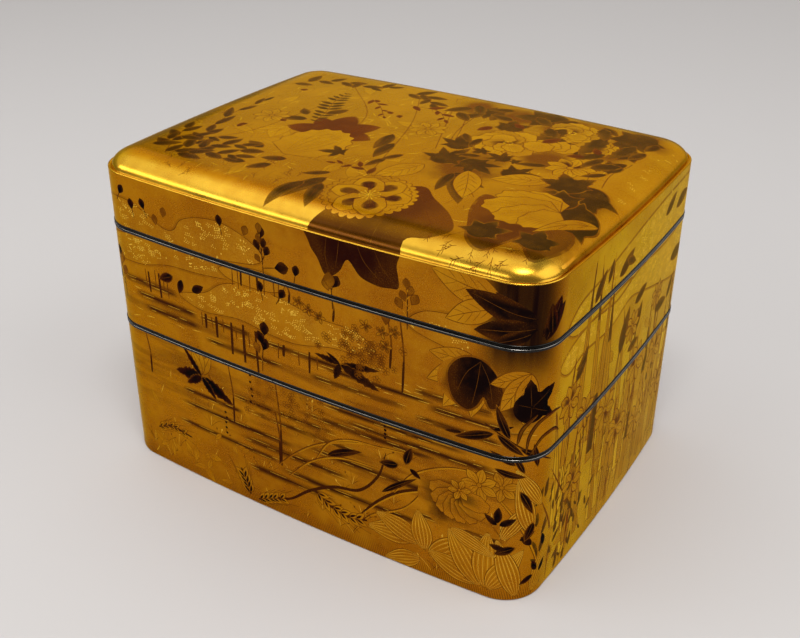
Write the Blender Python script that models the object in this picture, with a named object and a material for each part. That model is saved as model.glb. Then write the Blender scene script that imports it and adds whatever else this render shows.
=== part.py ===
"""Two-tiered lacquer box with a lift-off lid and pewter rims, modelled as solids in metres, +Z up.

The front is the long side at -Y. The box stands on its underside at Z = 0, centred on the origin.
"""

import math

import bmesh
import bpy

MM = 0.001

# Plan of the outside: bowed sides that run into round corners.
WIDTH = 236.0 * MM
DEPTH = 179.3 * MM
CORNER_RADIUS = 19.1 * MM
FRONT_BOW_RADIUS = 1530.0 * MM
END_BOW_RADIUS = 1330.0 * MM

# Heights of the stacked pieces' outer walls.
LOWER_TIER_HEIGHT = 76.8 * MM
UPPER_TIER_HEIGHT = 52.4 * MM
LID_WALL_HEIGHT = 28.0 * MM

# Walls, floors and the lips that locate each piece on the one below.
WALL = 5.0 * MM
FLOOR = 4.5 * MM
LIP_THICKNESS = 1.6 * MM
LIP_RISE = 5.5 * MM
LIP_CLEARANCE = 0.3 * MM
STACK_GAP = 0.3 * MM
INNER_FILLET = 4.0 * MM
FOOT_EDGE_RADIUS = 0.9 * MM

# The lid's beaded ledge, the groove behind it, its rounded shoulder and its low crown.
BEAD_WIDTH = 1.3 * MM
BEAD_RISE = 0.55 * MM
GROOVE_WIDTH = 0.45 * MM
SHOULDER_RUN = 16.8 * MM
SHOULDER_RISE = 7.45 * MM
CROWN = 1.5 * MM
LID_PLATE = 4.5 * MM

# Pewter rims: half-round strips let into the edges.
RIM_HEIGHT = 1.35 * MM
RIM_DEPTH = 1.3 * MM
RIM_PROUD = 0.4 * MM
SEAT_GAP = 0.2 * MM

# Points along a quarter of the plan, and steps in the rounded sections.
END_STEPS = 4
CORNER_STEPS = 7
FRONT_STEPS = 5
SHOULDER_STEPS = 6
FILLET_STEPS = 3
EDGE_STEPS = 2
BEAD_STEPS = 4
RIM_STEPS = 3
CROWN_RINGS = (0.82, 0.6, 0.35)

GOLD_LACQUER = {"name": "gold_lacquer", "colour": (0.42, 0.21, 0.02), "roughness": 0.28, "metallic": 0.7}
PEWTER = {"name": "pewter", "colour": (0.30, 0.30, 0.31), "roughness": 0.32, "metallic": 1.0}

FIRST_JOINT = LOWER_TIER_HEIGHT
SECOND_JOINT = FIRST_JOINT + UPPER_TIER_HEIGHT
LEDGE_LEVEL = SECOND_JOINT + LID_WALL_HEIGHT
SHOULDER_TOP = LEDGE_LEVEL + SHOULDER_RISE
RIM_SEAT = RIM_DEPTH + SEAT_GAP
LIP_FACE = WALL - LIP_THICKNESS
SKIRT_FACE = LIP_FACE - LIP_CLEARANCE


def clear_scene():
    """Removes every object that the file starts with."""
    for item in list(bpy.data.objects):
        bpy.data.objects.remove(item, do_unlink=True)


def make_material(finish):
    """Returns the Principled material of one finish, made on first use."""
    material = bpy.data.materials.get(finish["name"])
    if material is None:
        material = bpy.data.materials.new(finish["name"])
        material.use_nodes = True
        shader = material.node_tree.nodes["Principled BSDF"]
        shader.inputs["Base Color"].default_value = (*finish["colour"], 1.0)
        shader.inputs["Roughness"].default_value = finish["roughness"]
        shader.inputs["Metallic"].default_value = finish["metallic"]
        material.diffuse_color = (*finish["colour"], 1.0)
    return material


def corner_centre():
    """Centre of the corner arc that is tangent to a bowed side and to a bowed end."""
    front_centre_y = DEPTH / 2 - FRONT_BOW_RADIUS
    end_centre_x = WIDTH / 2 - END_BOW_RADIUS
    to_front = FRONT_BOW_RADIUS - CORNER_RADIUS
    to_end = END_BOW_RADIUS - CORNER_RADIUS
    span = math.hypot(end_centre_x, front_centre_y)
    along = (to_front ** 2 - to_end ** 2 + span ** 2) / (2 * span)
    across = math.sqrt(to_front ** 2 - along ** 2)
    unit_x = end_centre_x / span
    unit_y = -front_centre_y / span
    return along * unit_x + across * unit_y, front_centre_y + along * unit_y - across * unit_x


def arc(centre, radius, start, stop, steps):
    """Points of an arc from start to stop, without the last one."""
    points = []
    for step in range(steps):
        angle = start + (stop - start) * step / steps
        points.append((centre[0] + radius * math.cos(angle), centre[1] + radius * math.sin(angle)))
    return points


def plan_outline(inset):
    """Closed plan outline, moved inwards everywhere by inset, as points in order."""
    front_centre = (0.0, DEPTH / 2 - FRONT_BOW_RADIUS)
    end_centre = (WIDTH / 2 - END_BOW_RADIUS, 0.0)
    corner = corner_centre()
    end_stop = math.atan2(corner[1], corner[0] - end_centre[0])
    front_start = math.atan2(corner[1] - front_centre[1], corner[0])
    quarter = arc(end_centre, END_BOW_RADIUS - inset, 0.0, end_stop, END_STEPS)
    quarter += arc(corner, CORNER_RADIUS - inset, end_stop, front_start, CORNER_STEPS)
    quarter += arc(front_centre, FRONT_BOW_RADIUS - inset, front_start, math.pi / 2, FRONT_STEPS)
    middle = (0.0, DEPTH / 2 - inset)
    second = [middle] + [(-x, y) for x, y in reversed(quarter[1:])]
    half = quarter + second
    return half + [(-x, -y) for x, y in half]


def loft(name, rings, closed):
    """Solid through rings of plan points: closed as a hoop, or filled at its first and last ring."""
    bm = bmesh.new()
    loops = [[bm.verts.new((x, y, height)) for x, y in points] for points, height in rings]
    pairs = list(zip(loops, loops[1:]))
    if closed:
        pairs.append((loops[-1], loops[0]))
    else:
        bm.faces.new(loops[0])
        bm.faces.new(loops[-1])
    for first, second in pairs:
        for index, vertex in enumerate(first):
            bm.faces.new((first[index - 1], vertex, second[index], second[index - 1]))
    bmesh.ops.recalc_face_normals(bm, faces=bm.faces)
    mesh = bpy.data.meshes.new(name)
    bm.to_mesh(mesh)
    bm.free()
    return mesh


def offset_rings(profile):
    """Rings for a section given as (inset, height) pairs."""
    return [(plan_outline(inset), height) for inset, height in profile]


def quarter_round(corner_inset, corner_height, run, rise, steps):
    """Section points of a quarter ellipse that starts along +Z and ends along +inset."""
    points = []
    for step in range(steps + 1):
        angle = math.pi / 2 * step / steps
        points.append((corner_inset + run * (1 - math.cos(angle)), corner_height + rise * math.sin(angle)))
    return points


def inner_fillet(floor_height, direction):
    """Section points from the inner wall round into a floor (direction -1) or a ceiling (direction 1)."""
    points = []
    for step in range(FILLET_STEPS + 1):
        angle = math.pi / 2 * step / FILLET_STEPS
        inset = WALL + INNER_FILLET * (1 - math.cos(angle))
        points.append((inset, floor_height - direction * INNER_FILLET * (1 - math.sin(angle))))
    return points


def mouth_section(joint, floor_top):
    """Section of a tray's mouth: rim seat, shoulder, rising lip and the inside down to the floor."""
    edge = joint - STACK_GAP / 2
    seat = edge - RIM_HEIGHT - SEAT_GAP
    profile = [(0.0, seat), (RIM_SEAT, seat), (RIM_SEAT, edge), (LIP_FACE, edge)]
    profile += [(LIP_FACE, joint + LIP_RISE), (WALL, joint + LIP_RISE)]
    return profile + inner_fillet(floor_top, -1)


def skirt_section(joint, roof):
    """Section of a lower edge: the roof over the lip, the skirt around it and the rim seat outside."""
    edge = joint + STACK_GAP / 2
    seat = edge + RIM_HEIGHT + SEAT_GAP
    return [(SKIRT_FACE, roof), (SKIRT_FACE, edge), (RIM_SEAT, edge), (RIM_SEAT, seat), (0.0, seat)]


def lower_tier_rings():
    """Rings of the lower tray, from its flat underside up and over into the inside."""
    profile = []
    for step in range(EDGE_STEPS + 1):
        angle = math.pi / 2 * step / EDGE_STEPS
        profile.append((FOOT_EDGE_RADIUS * (1 - math.sin(angle)), FOOT_EDGE_RADIUS * (1 - math.cos(angle))))
    return offset_rings(profile + mouth_section(FIRST_JOINT, FLOOR))


def upper_tier_rings():
    """Rings of the upper tray, from the underside of its floor round the skirt into the inside."""
    roof = FIRST_JOINT + LIP_RISE + LIP_CLEARANCE
    profile = skirt_section(FIRST_JOINT, roof) + mouth_section(SECOND_JOINT, roof + FLOOR)
    return offset_rings(profile)


def lid_rings():
    """Rings of the lid, from its ceiling down the inside, round the skirt and up over the crown."""
    ceiling = SHOULDER_TOP - LID_PLATE
    groove = LEDGE_LEVEL - BEAD_RISE
    roof = SECOND_JOINT + LIP_RISE + LIP_CLEARANCE
    profile = list(reversed(inner_fillet(ceiling, 1)))
    profile += [(WALL, roof)] + skirt_section(SECOND_JOINT, roof)
    for step in range(BEAD_STEPS + 1):
        angle = math.pi * step / BEAD_STEPS
        profile.append((BEAD_WIDTH / 2 * (1 - math.cos(angle)), groove + BEAD_RISE * math.sin(angle)))
    profile += quarter_round(BEAD_WIDTH + GROOVE_WIDTH, groove, SHOULDER_RUN, SHOULDER_TOP - groove,
                             SHOULDER_STEPS)
    rings = offset_rings(profile)
    edge = rings[-1][0]
    for share in CROWN_RINGS:
        rings.append(([(x * share, y * share) for x, y in edge], SHOULDER_TOP + CROWN * (1 - share ** 2)))
    return rings


def rim_rings(joint, side):
    """Rings of a half-round rim, above the joint (side 1) or below it (side -1)."""
    near = STACK_GAP / 2
    profile = [(RIM_DEPTH, near)]
    for step in range(RIM_STEPS + 1):
        angle = math.pi * step / RIM_STEPS
        profile.append((-RIM_PROUD * math.sin(angle), near + RIM_HEIGHT / 2 * (1 - math.cos(angle))))
    profile.append((RIM_DEPTH, near + RIM_HEIGHT))
    return offset_rings([(inset, joint + side * height) for inset, height in profile])


def add_part(collection, parent, name, rings, closed, finish):
    """Links one sub-part as an object under the box's empty."""
    mesh = loft(name, rings, closed)
    mesh.materials.append(make_material(finish))
    part = bpy.data.objects.new(name, mesh)
    part.parent = parent
    collection.objects.link(part)
    for polygon in mesh.polygons:
        polygon.use_smooth = True
    mesh.set_sharp_from_angle(angle=math.radians(35))


def main():
    clear_scene()
    collection = bpy.data.collections.new("lacquer box")
    bpy.context.scene.collection.children.link(collection)
    box = bpy.data.objects.new("box", None)
    collection.objects.link(box)
    add_part(collection, box, "lower_tier", lower_tier_rings(), False, GOLD_LACQUER)
    add_part(collection, box, "upper_tier", upper_tier_rings(), False, GOLD_LACQUER)
    add_part(collection, box, "lid", lid_rings(), False, GOLD_LACQUER)
    add_part(collection, box, "lower_tier_rim", rim_rings(FIRST_JOINT, -1), True, PEWTER)
    add_part(collection, box, "upper_tier_bottom_rim", rim_rings(FIRST_JOINT, 1), True, PEWTER)
    add_part(collection, box, "upper_tier_top_rim", rim_rings(SECOND_JOINT, -1), True, PEWTER)
    add_part(collection, box, "lid_rim", rim_rings(SECOND_JOINT, 1), True, PEWTER)


main()
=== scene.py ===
"""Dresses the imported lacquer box: its curved skins with their painted plants, pewter rims, inside and light.

Lengths are in millimetres until a mesh is made. Drawings are flat: the walls unrolled as (s, z), where s runs
round the plan from the middle of the front towards +X, and the top as (x, y).
"""

import math
import random

import bpy
import numpy as np
from mathutils import Matrix, Vector
from mathutils.geometry import delaunay_2d_cdt


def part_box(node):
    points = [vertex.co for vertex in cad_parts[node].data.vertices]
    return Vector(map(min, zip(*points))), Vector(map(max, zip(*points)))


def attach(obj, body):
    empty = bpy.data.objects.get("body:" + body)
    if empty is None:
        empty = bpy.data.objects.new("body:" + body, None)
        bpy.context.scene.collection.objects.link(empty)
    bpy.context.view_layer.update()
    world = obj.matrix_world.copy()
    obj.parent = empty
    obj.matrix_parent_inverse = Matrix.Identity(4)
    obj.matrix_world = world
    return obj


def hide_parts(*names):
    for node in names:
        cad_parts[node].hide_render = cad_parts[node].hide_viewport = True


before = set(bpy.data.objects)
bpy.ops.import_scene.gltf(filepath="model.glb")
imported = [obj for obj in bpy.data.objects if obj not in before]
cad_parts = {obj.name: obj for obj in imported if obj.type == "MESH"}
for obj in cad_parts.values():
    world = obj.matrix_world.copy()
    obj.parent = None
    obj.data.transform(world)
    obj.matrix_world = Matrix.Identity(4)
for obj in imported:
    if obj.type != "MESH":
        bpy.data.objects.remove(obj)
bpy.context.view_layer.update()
MM = 0.001

# Plan, from the frame, with the bows and the corner of the construction.
lower_low, lower_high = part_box("lower_tier")
rim_low, rim_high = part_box("lid_rim")
first_rim_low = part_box("upper_tier_bottom_rim")[0]
lid_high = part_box("lid")[1]
HALF_WIDTH = (lower_high[0] - lower_low[0]) / 2 / MM
HALF_DEPTH = (lower_high[1] - lower_low[1]) / 2 / MM
CORNER_RADIUS = 19.1
FRONT_BOW_RADIUS = 1530.0
END_BOW_RADIUS = 1330.0

# Section sizes shared with the construction.
STACK_GAP = 0.3
WALL = 5.0
FLOOR = 4.5
LIP_FACE = 3.4
LIP_RISE = 5.5
LIP_CLEARANCE = 0.3
INNER_FILLET = 4.0
FOOT_EDGE_RADIUS = 0.9
BEAD_WIDTH = 1.3
BEAD_RISE = 0.55
GROOVE_WIDTH = 0.45
SHOULDER_RUN = 16.8
SHOULDER_RISE = 7.45
LID_PLATE = 4.5
RIM_DEPTH = 1.3
RIM_PROUD = 0.35
RIM_SINK = 0.1
SEAT_GAP = 0.06
RIM_HEIGHT = (rim_high[2] - rim_low[2]) / MM
FIRST_JOINT = first_rim_low[2] / MM - STACK_GAP / 2
SECOND_JOINT = rim_low[2] / MM - STACK_GAP / 2
CROWN = 1.5
SOLID_CROWN_SHARE = 0.88  # how much of the crown the construction's flat middle reaches
SHOULDER_TOP = lid_high[2] / MM - CROWN * SOLID_CROWN_SHARE
LEDGE_LEVEL = SHOULDER_TOP - SHOULDER_RISE
RIM_SEAT = RIM_DEPTH + SEAT_GAP

# Drawing sizes: a fine line, the least length of a leaf with a rib and a burnt margin, how much longer that
# margin is than a plain or a lobed leaf, and the hatched band along the foot.
LINE = 0.34
LARGE_LEAF = 9
LEAF_MARGIN = 1.4
LOBED_MARGIN = 1.3
HATCH_TOP = 12.0
HATCH_PITCH = 1.1


class Plan:
    """The outside in plan: a quarter is half a bowed side, a corner arc and half a bowed end."""

    def __init__(self):
        self.front_y = HALF_DEPTH - FRONT_BOW_RADIUS
        self.end_x = HALF_WIDTH - END_BOW_RADIUS
        to_front = FRONT_BOW_RADIUS - CORNER_RADIUS
        to_end = END_BOW_RADIUS - CORNER_RADIUS
        span = math.hypot(self.end_x, self.front_y)
        along = (to_front ** 2 - to_end ** 2 + span ** 2) / (2 * span)
        across = math.sqrt(to_front ** 2 - along ** 2)
        self.corner = np.array((along * self.end_x - across * self.front_y,
                                -along * self.front_y - across * self.end_x)) / span
        self.corner[1] += self.front_y
        self.front_turn = math.atan2(self.corner[0], self.corner[1] - self.front_y)
        self.end_turn = math.atan2(self.corner[0] - self.end_x, self.corner[1])
        self.front_length = FRONT_BOW_RADIUS * self.front_turn
        self.corner_length = CORNER_RADIUS * (self.end_turn - self.front_turn)
        self.end_length = END_BOW_RADIUS * (math.pi / 2 - self.end_turn)
        self.quarter = self.front_length + self.corner_length + self.end_length
        self.length = 4 * self.quarter

    def at(self, s, inset=0.0):
        """Points and outward normals at distances s round the outline, moved inwards by inset."""
        s = np.mod(np.asarray(s, float), self.length)
        turn = np.minimum((s // self.quarter).astype(int), 3)
        t = s - turn * self.quarter
        t = np.where(turn % 2 == 1, self.quarter - t, t)
        on_front = t <= self.front_length
        on_end = t > self.front_length + self.corner_length
        angle = np.where(on_front, t / FRONT_BOW_RADIUS,
                         self.front_turn + (t - self.front_length) / CORNER_RADIUS)
        angle = np.where(on_end, math.pi / 2 - (self.quarter - t) / END_BOW_RADIUS, angle)
        radius = np.where(on_front, FRONT_BOW_RADIUS, np.where(on_end, END_BOW_RADIUS, CORNER_RADIUS)) - inset
        centre_x = np.where(on_front, 0.0, np.where(on_end, self.end_x, self.corner[0]))
        centre_y = np.where(on_front, self.front_y, np.where(on_end, 0.0, self.corner[1]))
        normal = np.stack((np.sin(angle), np.cos(angle)), -1)
        point = np.stack((centre_x, centre_y), -1) + radius[..., None] * normal
        flip_x = np.where(turn >= 2, -1.0, 1.0)
        flip_y = np.where((turn == 0) | (turn == 3), -1.0, 1.0)
        flip = np.stack((flip_x, flip_y), -1)
        return point * flip, normal * flip

    def depth(self, x, y):
        """How far inside the outline points are."""
        x, y = np.abs(x), np.abs(y)
        side = FRONT_BOW_RADIUS - np.hypot(x, y - self.front_y)
        end = END_BOW_RADIUS - np.hypot(x - self.end_x, y)
        depth = np.minimum(side, end)
        round_off = (x > self.corner[0]) & (y > self.corner[1])
        corner = CORNER_RADIUS - np.hypot(x - self.corner[0], y - self.corner[1])
        return np.where(round_off, np.minimum(depth, corner), depth)

    def stations(self, corner_step=1.3, side_step=9.0):
        """Distances round the outline, close together in the corners."""
        front = np.linspace(0, self.front_length, max(2, round(self.front_length / side_step)) + 1)
        corner = np.linspace(front[-1], front[-1] + self.corner_length,
                             round(self.corner_length / corner_step) + 1)
        end = np.linspace(corner[-1], self.quarter, max(2, round(self.end_length / side_step)) + 1)
        quarter = np.concatenate((front, corner[1:], end[1:]))
        half = np.concatenate((quarter, 2 * self.quarter - quarter[-2::-1]))
        return np.concatenate((half, self.length - half[-2::-1]))[:-1]


plan = Plan()


def lid_height(x, y):
    """Height of the lid's top over the plan: its shoulder and its low crown."""
    inset = np.clip(plan.depth(x, y) - BEAD_WIDTH - GROOVE_WIDTH, 0.0, SHOULDER_RUN)
    shoulder = np.sqrt(np.clip(1 - (1 - inset / SHOULDER_RUN) ** 2, 0, 1))
    crown = np.clip(1 - (x / HALF_WIDTH) ** 2, 0, 1) * np.clip(1 - (y / HALF_DEPTH) ** 2, 0, 1)
    groove = LEDGE_LEVEL - BEAD_RISE
    return groove + (SHOULDER_TOP - groove) * shoulder + CROWN * crown * shoulder


# Drawing: complex numbers are flat points, and each shape keeps the small frame it was drawn in.

def smooth(before, start, stop, after, steps):
    """Points of a smooth line from start to stop, given the points before and after it."""
    t = np.linspace(0, 1, steps, endpoint=False)
    return 0.5 * (2 * start + (stop - before) * t + (2 * before - 5 * start + 4 * stop - after) * t ** 2
                  + (3 * start - before - 3 * stop + after) * t ** 3)


def curve(points, steps=8):
    """Smooth line through the points."""
    p = np.array([complex(*q) for q in points])
    p = np.concatenate(([2 * p[0] - p[1]], p, [2 * p[-1] - p[-2]]))
    parts = [smooth(*four, steps) for four in zip(p, p[1:], p[2:], p[3:])]
    return np.concatenate(parts + [p[-2:-1]])


def loop(points, steps=6):
    """Smooth closed line through the points."""
    p = np.array([complex(*q) for q in points])
    return np.concatenate([smooth(*four, steps) for four in zip(np.roll(p, 1), p, np.roll(p, -1),
                                                                np.roll(p, -2))])


def arc(radius, stop, count, start=0.0):
    """Points of an arc round zero, between two angles in radians."""
    return radius * np.exp(1j * np.linspace(start, stop, count))


def box_outline(low, high):
    """Outline of a rectangle between two corners."""
    return np.array((complex(low[0], low[1]), complex(high[0], low[1]), complex(high[0], high[1]),
                     complex(low[0], high[1])))


def covered(outline, spots):
    """Which spots a closed outline goes round, counted by its crossings of a level line to their right."""
    ahead = np.roll(outline, -1)
    x, y = spots.real[:, None], spots.imag[:, None]
    spans = (outline.imag[None, :] > y) != (ahead.imag[None, :] > y)
    rise = ahead.imag - outline.imag
    rise = np.where(np.abs(rise) < 1e-9, 1e-9, rise)
    meets = outline.real + (y - outline.imag) * (ahead.real - outline.real) / rise
    return np.sum(spans & (meets > x), 1) % 2 == 1


def ribbon(line, width, taper=0.0):
    """Closed strip along a line, thinner towards both ends by taper (0 to 1)."""
    way = np.gradient(line)
    way = way / np.maximum(np.abs(way), 1e-9)
    t = np.linspace(0, 1, len(line))
    half = width / 2 * (1 - taper + taper * np.sin(math.pi * t) ** 0.6) + 0.01
    return np.concatenate((line + 1j * way * half, (line - 1j * way * half)[::-1]))


def shrink(outline, distance):
    """The outline moved inwards along its own normals."""
    way = np.roll(outline, -1) - np.roll(outline, 1)
    way = way / np.maximum(np.abs(way), 1e-9)
    area = np.sum(outline.real * np.roll(outline.imag, -1) - np.roll(outline.real, -1) * outline.imag)
    return outline + 1j * way * distance * (1 if area > 0 else -1)


class Drawing:
    """Closed shapes laid over one another, each with an ink, a frame of its own and a tone."""

    def __init__(self, seed, swap=None):
        self.shapes = []
        self.dice = random.Random(seed)
        self.swap = swap or {}

    def add(self, local, ink, at=0j, turn=1 + 0j, width=1.0, tone=0.5):
        """Adds a shape given in a small frame: at is its origin, turn its size and direction."""
        points = at + turn * np.asarray(local)
        ink = self.swap.get(ink, ink)
        self.shapes.append({"points": points, "ink": ink, "at": at, "turn": turn, "width": width,
                            "tone": tone})

    def area(self, points, ink, base, tip, width=1.0):
        """Adds a shape given in plain coordinates, with its frame from a base to a tip."""
        at = complex(*base)
        turn = complex(*tip) - at
        self.add((points - at) / turn, ink, at, turn, width)

    def stroke(self, line, width=LINE, ink="line", taper=0.0):
        """Adds a strip along a line."""
        self.add(ribbon(line, width, taper), ink)

    def strokes(self, lines, width=LINE, ink="line", taper=0.0):
        """Adds strips along smooth lines, each given by its points."""
        for points in lines:
            self.stroke(curve(points), width, ink, taper)

    def outlined(self, local, ink, at, turn, width=1.0, tone=0.5, edge=LINE):
        """Adds a shape with a fine line round it."""
        self.add(local, "line", at, turn)
        self.add(shrink(local, edge / abs(turn)), ink, at, turn, width, tone)


def direction(degrees, size=1.0):
    """A flat step of a size, headed some degrees up from level."""
    return size * complex(math.cos(math.radians(degrees)), math.sin(math.radians(degrees)))


def leaf_outline(width, fullness=0.85, teeth=0, bend=0.0, steps=12):
    """A leaf of unit length along the real axis, toothed if asked, its tip bent aside."""
    count = max(steps, teeth * 3)
    t = np.linspace(0, 1, count + 1)
    half = width / 2 * np.sin(math.pi * t ** fullness) ** 0.85
    if teeth:
        half = half * (1 - 0.4 * np.mod(t * teeth, 1.0) * (t < 0.97))
    middle = t + 1j * bend * t ** 2
    return np.concatenate((middle + 1j * half, (middle - 1j * half)[-2:0:-1]))


def polar_outline(radius, steps=90, extra=()):
    """A closed outline from a function that gives the radius at an angle in radians."""
    angle = np.sort(np.concatenate((np.linspace(-math.pi, math.pi, steps, endpoint=False), extra)))
    keep = np.concatenate(([True], np.diff(angle) > 1e-4))
    angle = angle[keep]
    return radius(angle) * np.exp(1j * angle)


def pointed_lobes(lobes, hub=0.2, sharpness=1.35, teeth=0.0):
    """Radius function of a leaf with lobes, as (degrees, length, spread in degrees), toothed if asked."""

    def radius(angle):
        result = np.full(angle.shape, hub)
        for degrees, length, spread in lobes:
            off = np.abs(np.angle(np.exp(1j * (angle - math.radians(degrees))))) / math.radians(spread)
            lobe = length * np.clip(1 - off, 0, 1) ** sharpness
            result = np.maximum(result, lobe * (1 - teeth * np.mod(off * 4, 1)))
        return result

    return radius


def round_lobes(count, depth):
    """Radius function of a scalloped round form."""
    return lambda angle: 1 - depth + depth * np.abs(np.sin(angle * count / 2)) ** 0.6


# Motifs.

def leaf(d, at, degrees, length, width=0.4, ink="dark", teeth=0, bend=0.0, rib=True, tone=0.5, soft=True):
    """A painted leaf. A large one has a rib, and a burnt margin where it is soft."""
    turn = direction(degrees, length)
    outline = leaf_outline(width, teeth=teeth, bend=bend)
    if soft and length > LARGE_LEAF:
        d.add((outline - 0.5) * (1 + LEAF_MARGIN / length) + 0.5, "burn", at, turn, width)
    d.add(outline, ink, at, turn, width, tone)
    if rib and length > LARGE_LEAF:
        t = np.linspace(0.04, 0.9, 7)
        d.stroke(at + turn * (t + 1j * bend * t ** 2), LINE * 0.6, "vein", 0.6)


def leaves(d, rows, width=0.4, sway=0.0, **look):
    """Painted leaves, each given by base, heading, length and, where they differ, width."""
    for x, y, heading, length, *own in rows:
        bend = d.dice.uniform(-sway, sway) if sway else 0.0
        leaf(d, complex(x, y), heading, length, own[0] if own else width, bend=bend, **look)


def outline_leaf(d, at, degrees, length, width=0.45, veins=3, bend=0.0):
    """A leaf drawn in line, with side veins."""
    turn = direction(degrees, length)
    d.outlined(leaf_outline(width, bend=bend, steps=18), "pale", at, turn, width)
    t = np.linspace(0.02, 0.96, 9)
    d.stroke(at + turn * (t + 1j * bend * t ** 2), LINE * 0.8, "line", 0.5)
    t = np.linspace(0, 1, 5)
    for number in range(veins):
        start = 0.15 + 0.62 * number / veins
        reach = width * 0.36 * math.sin(math.pi * (start + 0.12))
        for side in (-1, 1):
            line = start + 0.2 * t + 1j * side * reach * t ** 0.8 + 1j * bend * (start + 0.2 * t) ** 2
            d.stroke(at + turn * line, LINE * 0.6, "line", 0.7)


def broad_leaf(d, at, degrees, length, width=0.55, veins=4, bend=0.0):
    """A plantain-like leaf with veins that run along it from base to tip."""
    turn = direction(degrees, length)
    d.outlined(leaf_outline(width, 0.8, bend=bend, steps=22), "bract", at, turn, width)
    t = np.linspace(0.03, 0.97, 12)
    half = width / 2 * np.sin(math.pi * t ** 0.8) ** 0.85
    for number in range(-veins - 1, veins + 2):
        share = number / (veins + 1.8)
        ink = "gold_line" if number % 2 else "faint"
        d.stroke(at + turn * (t + 1j * bend * t ** 2 + 1j * half * share), LINE * 0.7, ink, 0.6)


def lobed_leaf(d, at, degrees, size, lobes, ink="dark", hub=0.24, sharpness=1.2, teeth=0.0, veins=True,
               soft=True):
    """A painted leaf with lobes, varied a little."""
    turn = direction(degrees, size)
    lobes = [(angle + d.dice.uniform(-5, 5), length * d.dice.uniform(0.88, 1.1), spread)
             for angle, length, spread in lobes]
    tips = [math.radians(a) for a, _, _ in lobes]
    outline = polar_outline(pointed_lobes(lobes, hub, sharpness, teeth), 110, tips)
    if soft:
        d.add(outline * (1 + LOBED_MARGIN / size), "burn", at, turn, 2.0)
    d.add(outline, ink, at, turn, 2.0)
    if veins:
        for angle, length, _ in lobes[:5]:
            end = direction(angle, length * 0.72)
            d.stroke(at + turn * end * np.linspace(0.05, 1, 5), LINE * 0.45, "vein", 0.9)


# Kinds of lobed leaf. A lobe is its heading in degrees, its length and its spread in degrees.
THREE_LOBES = ((0, 1.0, 46), (62, 0.85, 44), (-62, 0.85, 44), (125, 0.5, 40), (-125, 0.5, 40))
VINE = {
    "lobes": ((0, 1.0, 62), (54, 0.9, 58), (-56, 0.94, 60), (108, 0.78, 54), (-110, 0.74, 54),
              (156, 0.52, 44),
              (-158, 0.56, 44)),
    "hub": 0.55, "sharpness": 0.95, "teeth": 0.08}
IVY = {
    "lobes": ((0, 1.0, 50), (46, 0.84, 46), (-50, 0.88, 46), (98, 0.66, 46), (-100, 0.62, 46),
              (150, 0.45, 50),
              (-150, 0.45, 50)),
    "hub": 0.4, "sharpness": 1.1, "teeth": 0.12}


def spray(d, line, count, length, width=0.4, ink="dark", spread=42, shrinking=0.45):
    """Leaves in pairs along a stem, smaller towards its tip."""
    d.stroke(line, LINE, "line", 0.4)
    way = np.gradient(line)
    for number in range(count):
        share = (number + 0.6) / count
        place = int(share * (len(line) - 1))
        heading = math.degrees(np.angle(way[place]))
        side = 1 if number % 2 else -1
        size = length * (1 - shrinking * share) * d.dice.uniform(0.85, 1.15)
        leaf(d, line[place], heading + side * spread, size, width, ink, tone=d.dice.random())
    leaf(d, line[-1], math.degrees(np.angle(way[-1])), length * (1 - shrinking), width, ink)


def fern(d, line, length, pairs=14):
    """A stem with small leaves in pairs, longest in the middle."""
    d.stroke(line, LINE, "line", 0.4)
    way = np.gradient(line)
    for number in range(pairs):
        share = (number + 0.5) / pairs
        place = min(int(share * len(line)), len(line) - 1)
        heading = math.degrees(np.angle(way[place]))
        size = length * math.sin(math.pi * (0.12 + 0.8 * share))
        for side in (-1, 1):
            leaf(d, line[place], heading + side * 62, size, 0.42, rib=False)


def bud(d, at, degrees, size, ink="dark", stem=0.0):
    """A round leaflet or bud on a short stalk."""
    outline = leaf_outline(0.72, 1.25, steps=14)
    if stem:
        d.stroke(at - direction(degrees, stem) * np.linspace(1, 0, 4), LINE * 1.3, ink, 0.3)
    turn = direction(degrees, size)
    if ink == "pale":
        d.outlined(outline, "burn", at, turn, 0.7)
        for _ in range(7):
            spot = at + turn * complex(d.dice.uniform(0.3, 0.85), d.dice.uniform(-0.2, 0.2))
            d.add(arc(0.22, 5.2, 6), "line", spot)
    else:
        d.add(outline, ink, at, turn, 0.7)


def bud_spray(d, at, height, lean=0.0, buds=5, size=4.6):
    """A short upright sprig with round leaflets, some dark and some drawn in line."""
    top = at + complex(lean, height)
    stem = curve([(at.real, at.imag), (at.real + lean * 0.3, at.imag + height * 0.5), (top.real, top.imag)])
    d.stroke(stem, LINE * 1.5, "dark", 0.3)
    for number in range(buds):
        share = 0.35 + 0.65 * number / max(buds - 1, 1)
        place = stem[int(share * (len(stem) - 1))]
        side = 1 if number % 2 else -1
        heading = 90 - side * d.dice.uniform(25, 60) * (1.15 - share)
        reach = d.dice.uniform(1.5, 4.0) * (1.4 - share)
        tip = place + direction(heading, reach)
        bud(d, tip, heading, size * d.dice.uniform(0.75, 1.1), "pale" if d.dice.random() < 0.4 else "dark",
            reach)


def scalloped(count, depth=0.08, steps=120):
    """Outline of a round petal of unit length with a frilled far edge, from its base at zero."""
    t = np.linspace(-1, 1, steps)
    rim = 1 - depth * np.abs(np.cos(t * count * math.pi / 2)) ** 1.5
    far = 0.5 + 0.62 * rim * np.exp(1j * t * 2.1)
    return np.concatenate((far, [0.02 + 0.03j, 0.02 - 0.03j]))


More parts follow.
